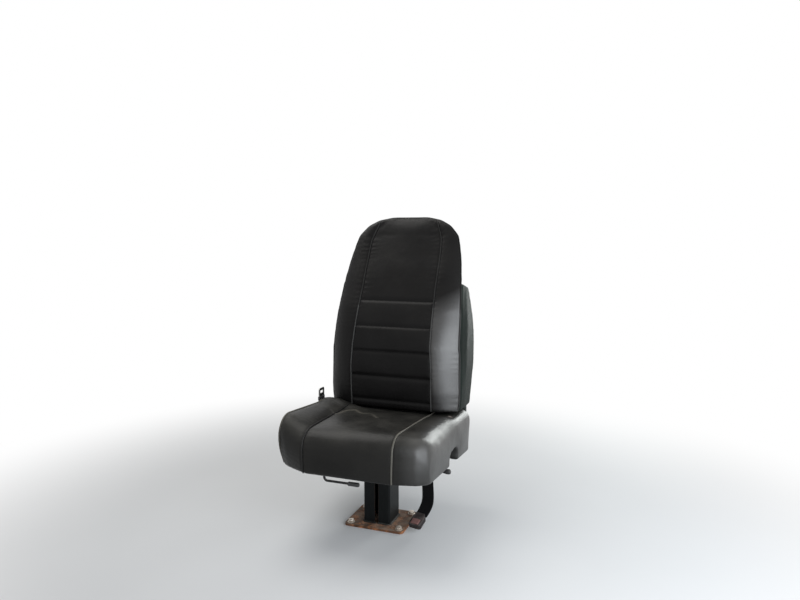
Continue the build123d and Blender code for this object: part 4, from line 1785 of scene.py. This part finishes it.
@dataclass
class RearBoxing(Upholstery):
    """The boxing behind the back pad, with its apron behind the cushion."""

    apron_half: float = 0.246
    apron_front: float = 0.262
    apron_rear: float = 0.298
    apron_low: float = 0.330
    rows: tuple[BoxingRow, ...] = (
        BoxingRow(0.399, 0.264, 0.298, 0.030, (0.2595, 0.137), (0.234, 0.190)),
        BoxingRow(0.470, 0.268, 0.316, 0.034, (0.2635, 0.137), (0.238, 0.190)),
        BoxingRow(0.560, 0.272, 0.334, 0.038, (0.2615, 0.140), (0.236, 0.190)),
        BoxingRow(0.640, 0.272, 0.336, 0.038, (0.2595, 0.143), (0.234, 0.194)),
        BoxingRow(0.710, 0.270, 0.332, 0.034, (0.2565, 0.159), (0.231, 0.212)),
        BoxingRow(0.775, 0.262, 0.324, 0.028, (0.2525, 0.179), (0.227, 0.240)),
        BoxingRow(0.872, 0.248, 0.311, 0.012, (0.2445, 0.214), (0.219, 0.283), -0.24),
    )

    def start(self) -> bpy.types.Mesh:
        """Closes the outer form of the hollow solid.

        Returns:
            The mesh of boxing and apron.
        """
        rings = [row.outline() for row in self.rows]
        count = len(rings[0])
        total = len(rings) * count
        faces = [tuple(range(count)), tuple(range(total - 1, total - count - 1, -1))]
        for ring in range(len(rings) - 1):
            for i in range(count):
                a, b = ring * count + i, ring * count + (i + 1) % count
                faces.append((a, a + count, b + count, b))
        top = self.rows[0].height + 0.01
        depth = self.apron_rear - self.apron_front
        size = (2 * self.apron_half, depth, top - self.apron_low)
        apron = block(size, (0, self.apron_front + depth / 2, (top + self.apron_low) / 2))
        return Shape([p for ring in rings for p in ring], faces).add(apron).mesh(self.name)

    def seams(self) -> list[SeamLine]:
        """Pipes the rear panel where it meets the side boxing, and seams it across.

        Returns:
            The seams.
        """
        left = []
        for row in self.rows:
            inset = row.corner * 0.35
            left.append(Vector((row.half - inset, row.rear - inset, row.rear_height())))
        right = [Vector((-x, y, z)) for x, y, z in reversed(left)]
        last = self.rows[-1]
        level = last.rear_height() - 0.004
        across = [Vector((x, last.rear, level)) for x in (0.22, 0.11, 0.0, -0.11, -0.22)]
        middle = self.rows[3]
        shares = (-1.0, -0.5, 0.0, 0.5, 1.0)
        band = [Vector((s * (middle.half - middle.corner), middle.rear, middle.height)) for s in shares]
        return [SeamLine(Seam.PIPED, left + across + right), SeamLine(Seam.CHANNEL, band)]

    def held(self, points: np.ndarray, normals: np.ndarray) -> np.ndarray:
        """Holds the front, the apron and the underside."""
        return (normals[:, 1] < -0.4) | (points[:, 2] < 0.41) | (np.abs(normals[:, 0]) > 0.8)


# Metalwork


@dataclass
class Pedestal:
    """The floor plate, column and swivel."""

    bolt_across: float = 0.019
    bolt_height: float = 0.0075
    washer_radius: float = 0.0135
    washer_height: float = 0.0025
    weld_radius: float = 0.0042
    weld_ripple: float = 0.13
    weld_ripple_every: float = 0.0052
    weld_step: float = 0.0016
    fold: float = 0.006
    swivel_bolt_across: float = 0.013
    swivel_bolt_height: float = 0.005
    swivel_washer_radius: float = 0.009
    swivel_washer_height: float = 0.0015
    swivel_bolts_at: Pair = (0.055, 0.075)

    def ripple(self, along: float) -> float:
        """How thick a weld bead is at a length along it."""
        return 1 + self.weld_ripple * math.sin(along * 2 * math.pi / self.weld_ripple_every)

    def bolts(self) -> None:
        """Bolts the plate down at its mount's holes."""
        mount_record = next(m for m in frame["record"]["mounts"] if m["name"] == "floor_bolts")
        x, y = (mount_record["dims"][k] / 2000 for k in ("spacing_x_mm", "spacing_y_mm"))
        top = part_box("floor_plate")[1].z
        shape = Shape()
        head = bolt_head(self.bolt_across, self.bolt_height, self.washer_radius, self.washer_height)
        for turn, (a, b) in enumerate([(1, 1), (1, -1), (-1, -1), (-1, 1)]):
            place = Matrix.Translation((a * x, b * y, top)) @ Matrix.Rotation(0.4 + turn * 0.8, 4, "Z")
            shape.add(head.moved(place))
        mount(shape.build("floor_bolts", BOLT_STEEL), "base")

    def welds(self) -> None:
        """Welds the column's two channels to the plate and to the cap."""
        shape = Shape()
        for side in Side:
            low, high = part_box(f"pedestal_{side.word}")
            inner, outer = sorted((low.x, high.x), key=abs)
            corner = side.value * self.fold
            path = [
                Vector((inner, low.y, 0)),
                Vector((outer - corner, low.y, 0)),
                Vector((outer, low.y + self.fold, 0)),
                Vector((outer, high.y - self.fold, 0)),
                Vector((outer - corner, high.y, 0)),
                Vector((inner, high.y, 0)),
            ]
            for level in (low.z, high.z):
                line = even_steps([p + Vector((0, 0, level)) for p in path], self.weld_step)
                shape.add(tube(line, self.weld_radius, 10, self.ripple))
        # The welds wear the column's paint, which is darkened with painted shade.
        mount(shape.build("column_welds", SHADED_COLUMN_PAINT, 180.0), "base")

    def swivel_bolts(self) -> None:
        """Bolts the rails to the turning plate, beside the race."""
        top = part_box("swivel_top")
        shape = Shape()
        washer = (self.swivel_washer_radius, self.swivel_washer_height)
        head = bolt_head(self.swivel_bolt_across, self.swivel_bolt_height, *washer)
        x, y = self.swivel_bolts_at
        for a, b in ((-1, -1), (1, -1), (-1, 1), (1, 1)):
            shape.add(head.moved(Matrix.Translation((a * x, b * y, top[1].z))))
        mount(shape.build("swivel_bolts", BOLT_STEEL), "swivel")

    def build(self) -> None:
        """Dresses the solids and adds the fastenings."""
        dress(["floor_plate"], RUST)
        # Column, cap and swivel wear the paint darkened with painted shade.
        dress(["pedestal_left", "pedestal_right", "pedestal_cap", "swivel_base", "swivel_top"], SHADED_COLUMN_PAINT)
        self.bolts()
        self.welds()
        self.swivel_bolts()


@dataclass
class Slide:
    """The slide rails and their release."""

    stop_size: Triple = (0.020, 0.006, 0.009)
    grip_radius: float = 0.0080
    grip_ribs: int = 9

    def stops(self) -> None:
        """Rubber stops at the rails' rear ends, clear of the release rod."""
        shape = Shape()
        for side in Side:
            low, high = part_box(f"lower_rail_{side.word}")
            middle = (low.x + high.x) / 2
            shape.add(block(self.stop_size, (middle, high.y - 0.003, high.z - 0.0085)).bevelled(0.0012, 2))
        mount(shape.build("rail_stops", BLACK_PLASTIC), "swivel")

    def grip(self) -> None:
        """The release bar's ribbed grip."""
        low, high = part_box("release_grip")
        length = high.x - low.x
        profile = [(0.0, 0.0), (self.grip_radius * 0.7, 0.0)]
        for i in range(self.grip_ribs * 4 + 1):
            share = i / (self.grip_ribs * 4)
            rib = 0.0006 * math.cos(share * self.grip_ribs * 2 * math.pi)
            profile.append((self.grip_radius - 0.0009 - rib, 0.0015 + share * (length - 0.003)))
        profile += [(self.grip_radius * 0.7, length), (0.0, length)]
        centre = (low + high) / 2
        place = axes_to(Vector((0, 1, 0)), Vector((1, 0, 0)), Vector((low.x, centre.y, centre.z)))
        piece = lathe(profile, 28).moved(place).build("release_grip_ribbed", BLACK_PLASTIC)
        mount(piece, "seat", ["release_grip"])

    def build(self) -> None:
        """Dresses the rails and adds their small pieces."""
        dress([f"{level}_rail_{side.word}" for level in ("lower", "upper") for side in Side], RAIL_STEEL)
        dress(["seat_pan", "slide_release"], FRAME_PAINT)
        self.stops()
        self.grip()


@dataclass
class Recliner:
    """The recline hinge and its lever."""

    nut_across: float = 0.017
    nut_height: float = 0.006
    knob_radius: float = 0.0098

    def pivots(self) -> None:
        """A nut on the outside of each pivot."""
        hinge = Vector(next(j["pos_m"] for j in frame["joints"] if j["name"] == "back_recline"))
        shape = Shape()
        for side in Side:
            low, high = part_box(f"hinge_bracket_{side.word}")
            outer = max(low.x, high.x, key=abs)
            nut = bolt_head(self.nut_across, self.nut_height, 0.013, 0.002)
            outward = Vector((side.value, 0, 0))
            shape.add(nut.moved(axes_to(Vector((0, 0, 1)), outward, Vector((outer, hinge.y, hinge.z)))))
        mount(shape.build("pivot_nuts", BOLT_STEEL), "seat")

    def knob(self) -> None:
        """The lever's moulded knob, waisted for the fingers."""
        low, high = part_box("lever_knob")
        length = high.x - low.x
        r = self.knob_radius
        profile = [(0.0, 0.0), (r * 0.62, 0.0), (r * 0.72, 0.001), (r * 0.74, 0.006)]
        profile += [(r * 0.86, 0.012), (r * 0.98, 0.019), (r, 0.024), (r * 0.93, length - 0.004)]
        profile += [(r * 0.75, length - 0.0012), (r * 0.4, length), (0.0, length)]
        centre = (low + high) / 2
        place = axes_to(Vector((0, 1, 0)), Vector((1, 0, 0)), Vector((low.x, centre.y, centre.z)))
        piece = lathe(profile, 36).moved(place).build("lever_knob_moulded", BLACK_PLASTIC, 60.0)
        mount(piece, "seat", ["lever_knob"])

    def build(self) -> None:
        """Dresses the hinge and lever, and adds nuts and knob."""
        for side in Side:
            dress([f"hinge_bracket_{side.word}", f"back_arm_{side.word}"], FRAME_PAINT)
        dress(["recline_lever"], FRAME_PAINT)
        self.pivots()
        self.knob()


# Lap belt


def webbing(
    line: Sequence[Vector], across: Vector, width: float, thick: float, dish: float = 0.0012
) -> Shape:
    """Belt webbing along a line, mapped by its lengths.

    Args:
        line: the webbing's centreline.
        across: the way across the webbing.
        width: its width.
        thick: its thickness.
        dish: how far its middle stands off its edges.

    Returns:
        The closed strap.
    """
    shape = Shape()
    columns = [-1.0, -0.96, -0.5, 0.0, 0.5, 0.96, 1.0]
    for i, (point, reached) in enumerate(zip(line, lengths_along(line))):
        ahead = (line[min(i + 1, len(line) - 1)] - line[max(i - 1, 0)]).normalized()
        out = ahead.cross(across).normalized()
        for face in (1, -1):
            for c in columns if face == 1 else reversed(columns):
                half = thick / 2 * (0.55 if abs(c) == 1.0 else 1.0)
                lift = out * (face * half + dish * (1 - c * c))
                shape.points.append(point + across * (c * width / 2) + lift)
                shape.map_points.append((c * width / 2, reached))
    shape.faces = skin(len(line), 2 * len(columns))
    return shape


@dataclass
class BuckleHalf:
    """The lap belt's buckle on its strap, which hangs from the anchor and turns forward."""

    width: float = 0.048
    thick: float = 0.0022
    tilt: float = 65.0
    length: float = 0.060
    body_thick: float = 0.020
    reach: Pair = (0.013, 0.058)
    first_run: float = 0.054
    last_run: float = 0.025
    bend: float = 0.045
    button_size: Triple = (0.030, 0.022, 0.0046)

    def turn(self) -> Matrix:
        """Finds the buckle's directions.

        Returns:
            Their matrix: across the webbing, towards the strap, out of the buckle's face.
        """
        along = Vector((*self.reach, 0)).normalized()
        across = Vector((along.y, -along.x, 0))
        tilt = math.radians(self.tilt)
        axis = along * math.sin(tilt) + Vector((0, 0, math.cos(tilt)))
        return Matrix((across, axis, across.cross(axis))).transposed()

    def middle(self, node: str) -> Vector:
        """The middle of a node."""
        low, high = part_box(node)
        return (low + high) / 2

    def place(self, node: str) -> Matrix:
        """Places shapes on the middle of a node, along the buckle's directions."""
        return Matrix.Translation(self.middle(node)) @ self.turn().to_4x4()

    def route(self) -> list[Vector]:
        """Leads the strap from buckle to anchor, with one round bend.

        Returns:
            Its centreline.
        """
        axis = self.turn() @ Vector((0, 1, 0))
        low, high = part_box("belt_anchor")
        top = Vector((low.x + self.width / 2, (low.y + high.y) / 2, low.z + 0.001))
        start = self.middle("buckle") + axis * (self.length / 2)
        corner = start + axis * self.first_run
        foot = top - Vector((0, 0, self.last_run))
        up = (foot - corner).normalized()
        half_turn = axis.angle(up) / 2
        run = self.bend * math.tan(half_turn)
        round_in = self.bend * (1 / math.cos(half_turn) - 1)
        arc_middle = corner + (up - axis).normalized() * round_in
        line = [start - axis * 0.006, corner - axis * run, arc_middle, corner + up * run]
        return smooth_line([*line, corner.lerp(foot, 0.6) + Vector((0, 0.003, 0)), foot, top], 0.004)

    def strap(self) -> None:
        """The webbing, doubled where it is sewn at its buckle end."""
        line = self.route()
        across = self.turn() @ Vector((1, 0, 0))
        shape = webbing(line, across, self.width, self.thick)
        shape.add(webbing(line[:8], across, self.width * 0.98, self.thick * 1.9, 0.0009))
        mount(shape.build("buckle_webbing", BELT, 60.0), "seat", ["buckle_strap"])

    def buckle(self) -> None:
        """The moulded buckle body, with the slot for the tongue."""
        half, end, t = self.width / 2, self.length / 2, self.body_thick / 2
        outline = [(-half, -end + 0.006), (-half + 0.004, -end), (half - 0.004, -end), (half, -end + 0.006)]
        outline += [(half, end * 0.45), (half * 0.62, end), (-half * 0.62, end), (-half, end * 0.45)]
        case = prism(outline, -t, t).bevelled(0.0038, 4, 20.0)
        lip = block((self.width * 0.72, 0.0012, 0.0085), (0, -end + 0.0002, -t * 0.25)).bevelled(0.0005, 2)
        slot = block((self.width * 0.66, 0.0022, 0.0042), (0, -end - 0.0004, -t * 0.25)).bevelled(0.0006, 2)
        place = self.place("buckle")
        case = case.add(lip).moved(place).build("buckle_case", BUCKLE_PLASTIC)
        mount(case, "seat", ["buckle"])
        mount(slot.moved(place).build("buckle_slot", FRAME_PAINT), "seat")

    def button(self) -> None:
        """The faded press button on the buckle's face."""
        place = self.place("buckle_button")
        out = place.to_3x3() @ Vector((0, 0, 1))
        side = math.copysign(1.0, (self.middle("buckle_button") - self.middle("buckle")).dot(out))
        pad = block(self.button_size, (0, 0, -0.0004 * side)).bevelled(0.0014, 3)
        mount(pad.moved(place).build("buckle_press", BUTTON_RED), "seat", ["buckle_button"])

    def build(self) -> None:
        """Dresses the anchor and makes strap, buckle and button."""
        dress(["belt_anchor"], FRAME_PAINT)
        self.strap()
        self.buckle()
        self.button()


@dataclass
class TongueHalf:
    """The lap belt's retractor, with the sleeve that holds its tongue up."""

    case_round: float = 0.010
    cover_stand: float = 0.004
    screw_radius: float = 0.0032
    webbing_width: float = 0.048
    rib_radius: float = 0.0011

    def across(self, x: float, y: float = 0.0, z: float = 0.0) -> Matrix:
        """Places shapes with their z axis along x, and their x axis along y."""
        turn = Matrix(((0, 0, 1), (1, 0, 0), (0, 1, 0))).to_4x4()
        return Matrix.Translation((x, y, z)) @ turn

    def retractor(self) -> None:
        """The retractor's case, with a raised cover and its screws."""
        low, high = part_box("retractor")
        centre = (low + high) / 2
        r, half = self.case_round, (high.x - low.x) / 2
        y, z = (high.y - low.y) / 2, (high.z - low.z) / 2
        outline = []
        a, b = y - r, z - r
        for cy, cz, start in ((a, b, 0), (-a, b, 90), (-a, -b, 180), (a, -b, 270)):
            for step in range(6):
                turn = math.radians(start + step * 18)
                outline.append((cy + r * math.cos(turn), cz + r * math.sin(turn)))
        case = prism(outline, -half + self.cover_stand, half).bevelled(0.0025, 3, 40.0)
        inset = [(a * 0.84, b * 0.86) for a, b in outline]
        case.add(prism(inset, -half, -half + 1.5 * self.cover_stand).bevelled(0.0022, 3, 40.0))
        place = self.across(*centre)
        piece = case.moved(place).build("retractor_case", BLACK_PLASTIC)
        mount(piece, "seat", ["retractor"])
        screws, rim = Shape(), self.screw_radius
        for a, b in ((0.7, 0.72), (-0.7, 0.72), (-0.7, -0.72), (0.7, -0.72)):
            head = lathe([(0, 0), (rim, 0), (rim, 0.0006), (rim * 0.7, 0.0014), (0, 0.0016)], 20)
            down = Matrix.Translation((a * y * 0.84, b * z * 0.86, -half)) @ Matrix.Rotation(math.pi, 4, "X")
            screws.add(head.moved(place @ down))
        mount(screws.build("retractor_screws", BOLT_STEEL), "seat")

    def sleeve(self) -> None:
        """The stiff sleeve round the webbing, ribbed lengthwise."""
        low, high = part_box("belt_sleeve")
        web, thick = self.webbing_width, (high.x - low.x) / 2
        corners = [(high.y - web, low.z), (high.y, low.z), (low.y + web, high.z), (low.y, high.z)]
        shape = prism(corners, -thick + 0.001, thick - 0.001).bevelled(0.0022, 4, 20.0)
        foot_in, foot_out, head_out, head_in = (Vector((*corner, 0)) for corner in corners)
        for share in (0.18, 0.5, 0.82):
            start, end = foot_in.lerp(foot_out, share), head_in.lerp(head_out, share)
            run = [start.lerp(end, k / 12) for k in range(1, 12)]
            for face in (1, -1):
                lift = Vector((0, 0, face * (thick - self.rib_radius)))
                shape.add(tube([p + lift for p in run], self.rib_radius, 8))
        piece = shape.moved(self.across((low.x + high.x) / 2)).build("belt_sleeve_ribbed", BLACK_PLASTIC)
        mount(piece, "seat", ["belt_sleeve"])

    def tongue(self) -> None:
        """The moulded shoulder of the tongue."""
        low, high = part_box("latch_tongue")
        size = (0.0078, (high.y - low.y) * 1.04, 0.016)
        centre = ((low.x + high.x) / 2, (low.y + high.y) / 2, low.z + 0.007)
        piece = block(size, centre).bevelled(0.0024, 3).build("tongue_shoulder", BLACK_PLASTIC)
        mount(piece, "seat")

    def build(self) -> None:
        """Dresses carrier and tongue, and makes case, sleeve and shoulder."""
        dress(["retractor_carrier"], FRAME_PAINT)
        dress(["latch_tongue"], TONGUE_STEEL)
        self.retractor()
        self.sleeve()
        self.tongue()


# Studio


@dataclass
class Lamp:
    """A soft lamp that faces a point."""

    name: str
    place: Triple
    faces: Triple
    size: Pair
    power: float
    colour: Triple = (1.0, 1.0, 1.0)

    def build(self) -> None:
        """Hangs the lamp."""
        light = bpy.data.lights.new(self.name, "AREA")
        light.shape = "RECTANGLE"
        light.size, light.size_y = self.size
        light.energy = self.power
        light.color = self.colour
        lamp = linked(self.name, light)
        lamp.location = self.place
        lamp.visible_camera = False
        lamp.rotation_mode = "QUATERNION"
        lamp.rotation_quaternion = (Vector(self.faces) - Vector(self.place)).to_track_quat("-Z", "Y")


@dataclass
class Studio:
    """A pale floor, soft lamps, a white surround and the camera."""

    camera_place: Triple = (0.846, -2.125, 1.0496)
    camera_yaw: float = 20.01
    camera_pitch: float = 5.71
    focal_px: float = 639.4
    image_px: float = 800.0
    sensor: float = 36.0
    floor_radius: float = 14.0
    floor_colour: Triple = (0.60, 0.61, 0.62)
    floor_fade: Pair = (0.9, 2.1)
    ambient: float = 0.42
    lamps: tuple[Lamp, ...] = (
        Lamp("front_softbox", (1.61, -1.31, 1.0), (0.2, 0.1, 1.0), (1.5, 1.9), 36.0, (0.90, 0.95, 1.0)),
        Lamp("side_softbox", (2.2, -0.15, 0.95), (0.2, 0.0, 0.95), (1.1, 1.8), 20.0, (0.90, 0.95, 1.0)),
        Lamp("rear_softbox", (0.85, 2.5, 0.95), (0.2, 0.0, 0.45), (0.8, 1.4), 20.0, (0.95, 1.0, 0.98)),
        Lamp("top_softbox", (-1.0, 0.2, 2.8), (0.0, 0.0, 0.5), (1.8, 1.8), 34.0, (1.0, 0.98, 0.95)),
    )

    def camera(self) -> None:
        """Stands the camera where the photograph's stood."""
        data = bpy.data.cameras.new("camera")
        data.sensor_width = self.sensor
        data.lens = self.sensor * self.focal_px / self.image_px
        camera = linked("camera", data)
        camera.location = self.camera_place
        camera.rotation_euler = (math.radians(90 - self.camera_pitch), 0, math.radians(self.camera_yaw))
        bpy.context.scene.camera = camera

    def floor(self) -> None:
        """Lays a pale floor that fades into the white surround."""
        rim = [Vector((x, y, 0)) * self.floor_radius for x, y in circle(64)]
        faces = [(0, 1 + i, 1 + (i + 1) % len(rim)) for i in range(len(rim))]
        material = bpy.data.materials.new("pale_floor")
        material.use_nodes = True
        material.node_tree.nodes.clear()
        graph = Graph(material.node_tree)
        grit = graph.blend(graph.noise(3.0), self.floor_colour, tuple(c * 1.04 for c in self.floor_colour))
        matt = graph.add("BsdfPrincipled", {"Base Color": grit, "Roughness": 0.7, "Specular IOR Level": 0.2})
        white = graph.add("Emission", {"Color": (1.0, 1.0, 1.0, 1.0), "Strength": 1.0})
        far = graph.add("VectorMath", {0: graph.place()}, operation="LENGTH").outputs["Value"]
        faded = graph.span(far, *self.floor_fade)
        mix = graph.add("MixShader", {0: faded, 1: matt.outputs[0], 2: white.outputs[0]})
        graph.add("OutputMaterial", {"Surface": mix.outputs[0]})
        data = Shape([Vector((0, 0, 0)), *rim], faces).mesh("floor")
        data.materials.append(material)
        linked("floor", data)

    def surround(self) -> None:
        """Surrounds all with white that lights softly."""
        world = bpy.data.worlds.new("surround")
        bpy.context.scene.world = world
        world.use_nodes = True
        world.node_tree.nodes.clear()
        graph = Graph(world.node_tree)
        rays = graph.add("LightPath").outputs
        seen = graph.math("MAXIMUM", rays["Is Camera Ray"], rays["Is Glossy Ray"])
        seen = graph.math("MAXIMUM", seen, rays["Is Transmission Ray"])
        strength = graph.summed(self.ambient, (seen, 1.0 - self.ambient))
        sky = graph.add("Background", {"Color": (1.0, 1.0, 1.0, 1.0), "Strength": strength})
        graph.add("OutputWorld", {"Surface": sky.outputs[0]})

    def build(self) -> None:
        """Sets the studio up."""
        bpy.context.scene.view_settings.view_transform = "Standard"
        self.camera()
        self.floor()
        self.surround()
        for lamp in self.lamps:
            lamp.build()


def main() -> None:
    """Builds the studio and the seat, sub-assembly by sub-assembly."""
    logging.basicConfig(level=logging.INFO, format="%(name)s: %(message)s")
    assemblies = [
        Studio(),
        Pedestal(),
        Slide(),
        Recliner(),
        BuckleHalf(),
        TongueHalf(),
        CushionPad(
            "seat_cushion_cover", "seat_cushion", "seat", VINYL, 0.85,
            worn_highlit_piping=HIGHLIT_CUSHION_PIPING, pipe_radius=0.0032, rounding=12, calm=16,
            rubs=((0.236, 0.092, 0.396, 0.010),),
        ),
        BackPad(
            "back_pad_cover", "back_cushion", "back", SHADED_BACK_VINYL, 0.85, worn_highlit_piping=HIGHLIT_BACK_PIPING, rounding=6
        ),
        RearBoxing("rear_boxing_cover", "back_shell", "back", TEAL_TINTED_BOXING_VINYL, 0.9, swell=0.004),
    ]
    for assembly in assemblies:
        LOG.info("building %s", type(assembly).__name__)
        assembly.build()


if __name__ == "__main__":
    main()
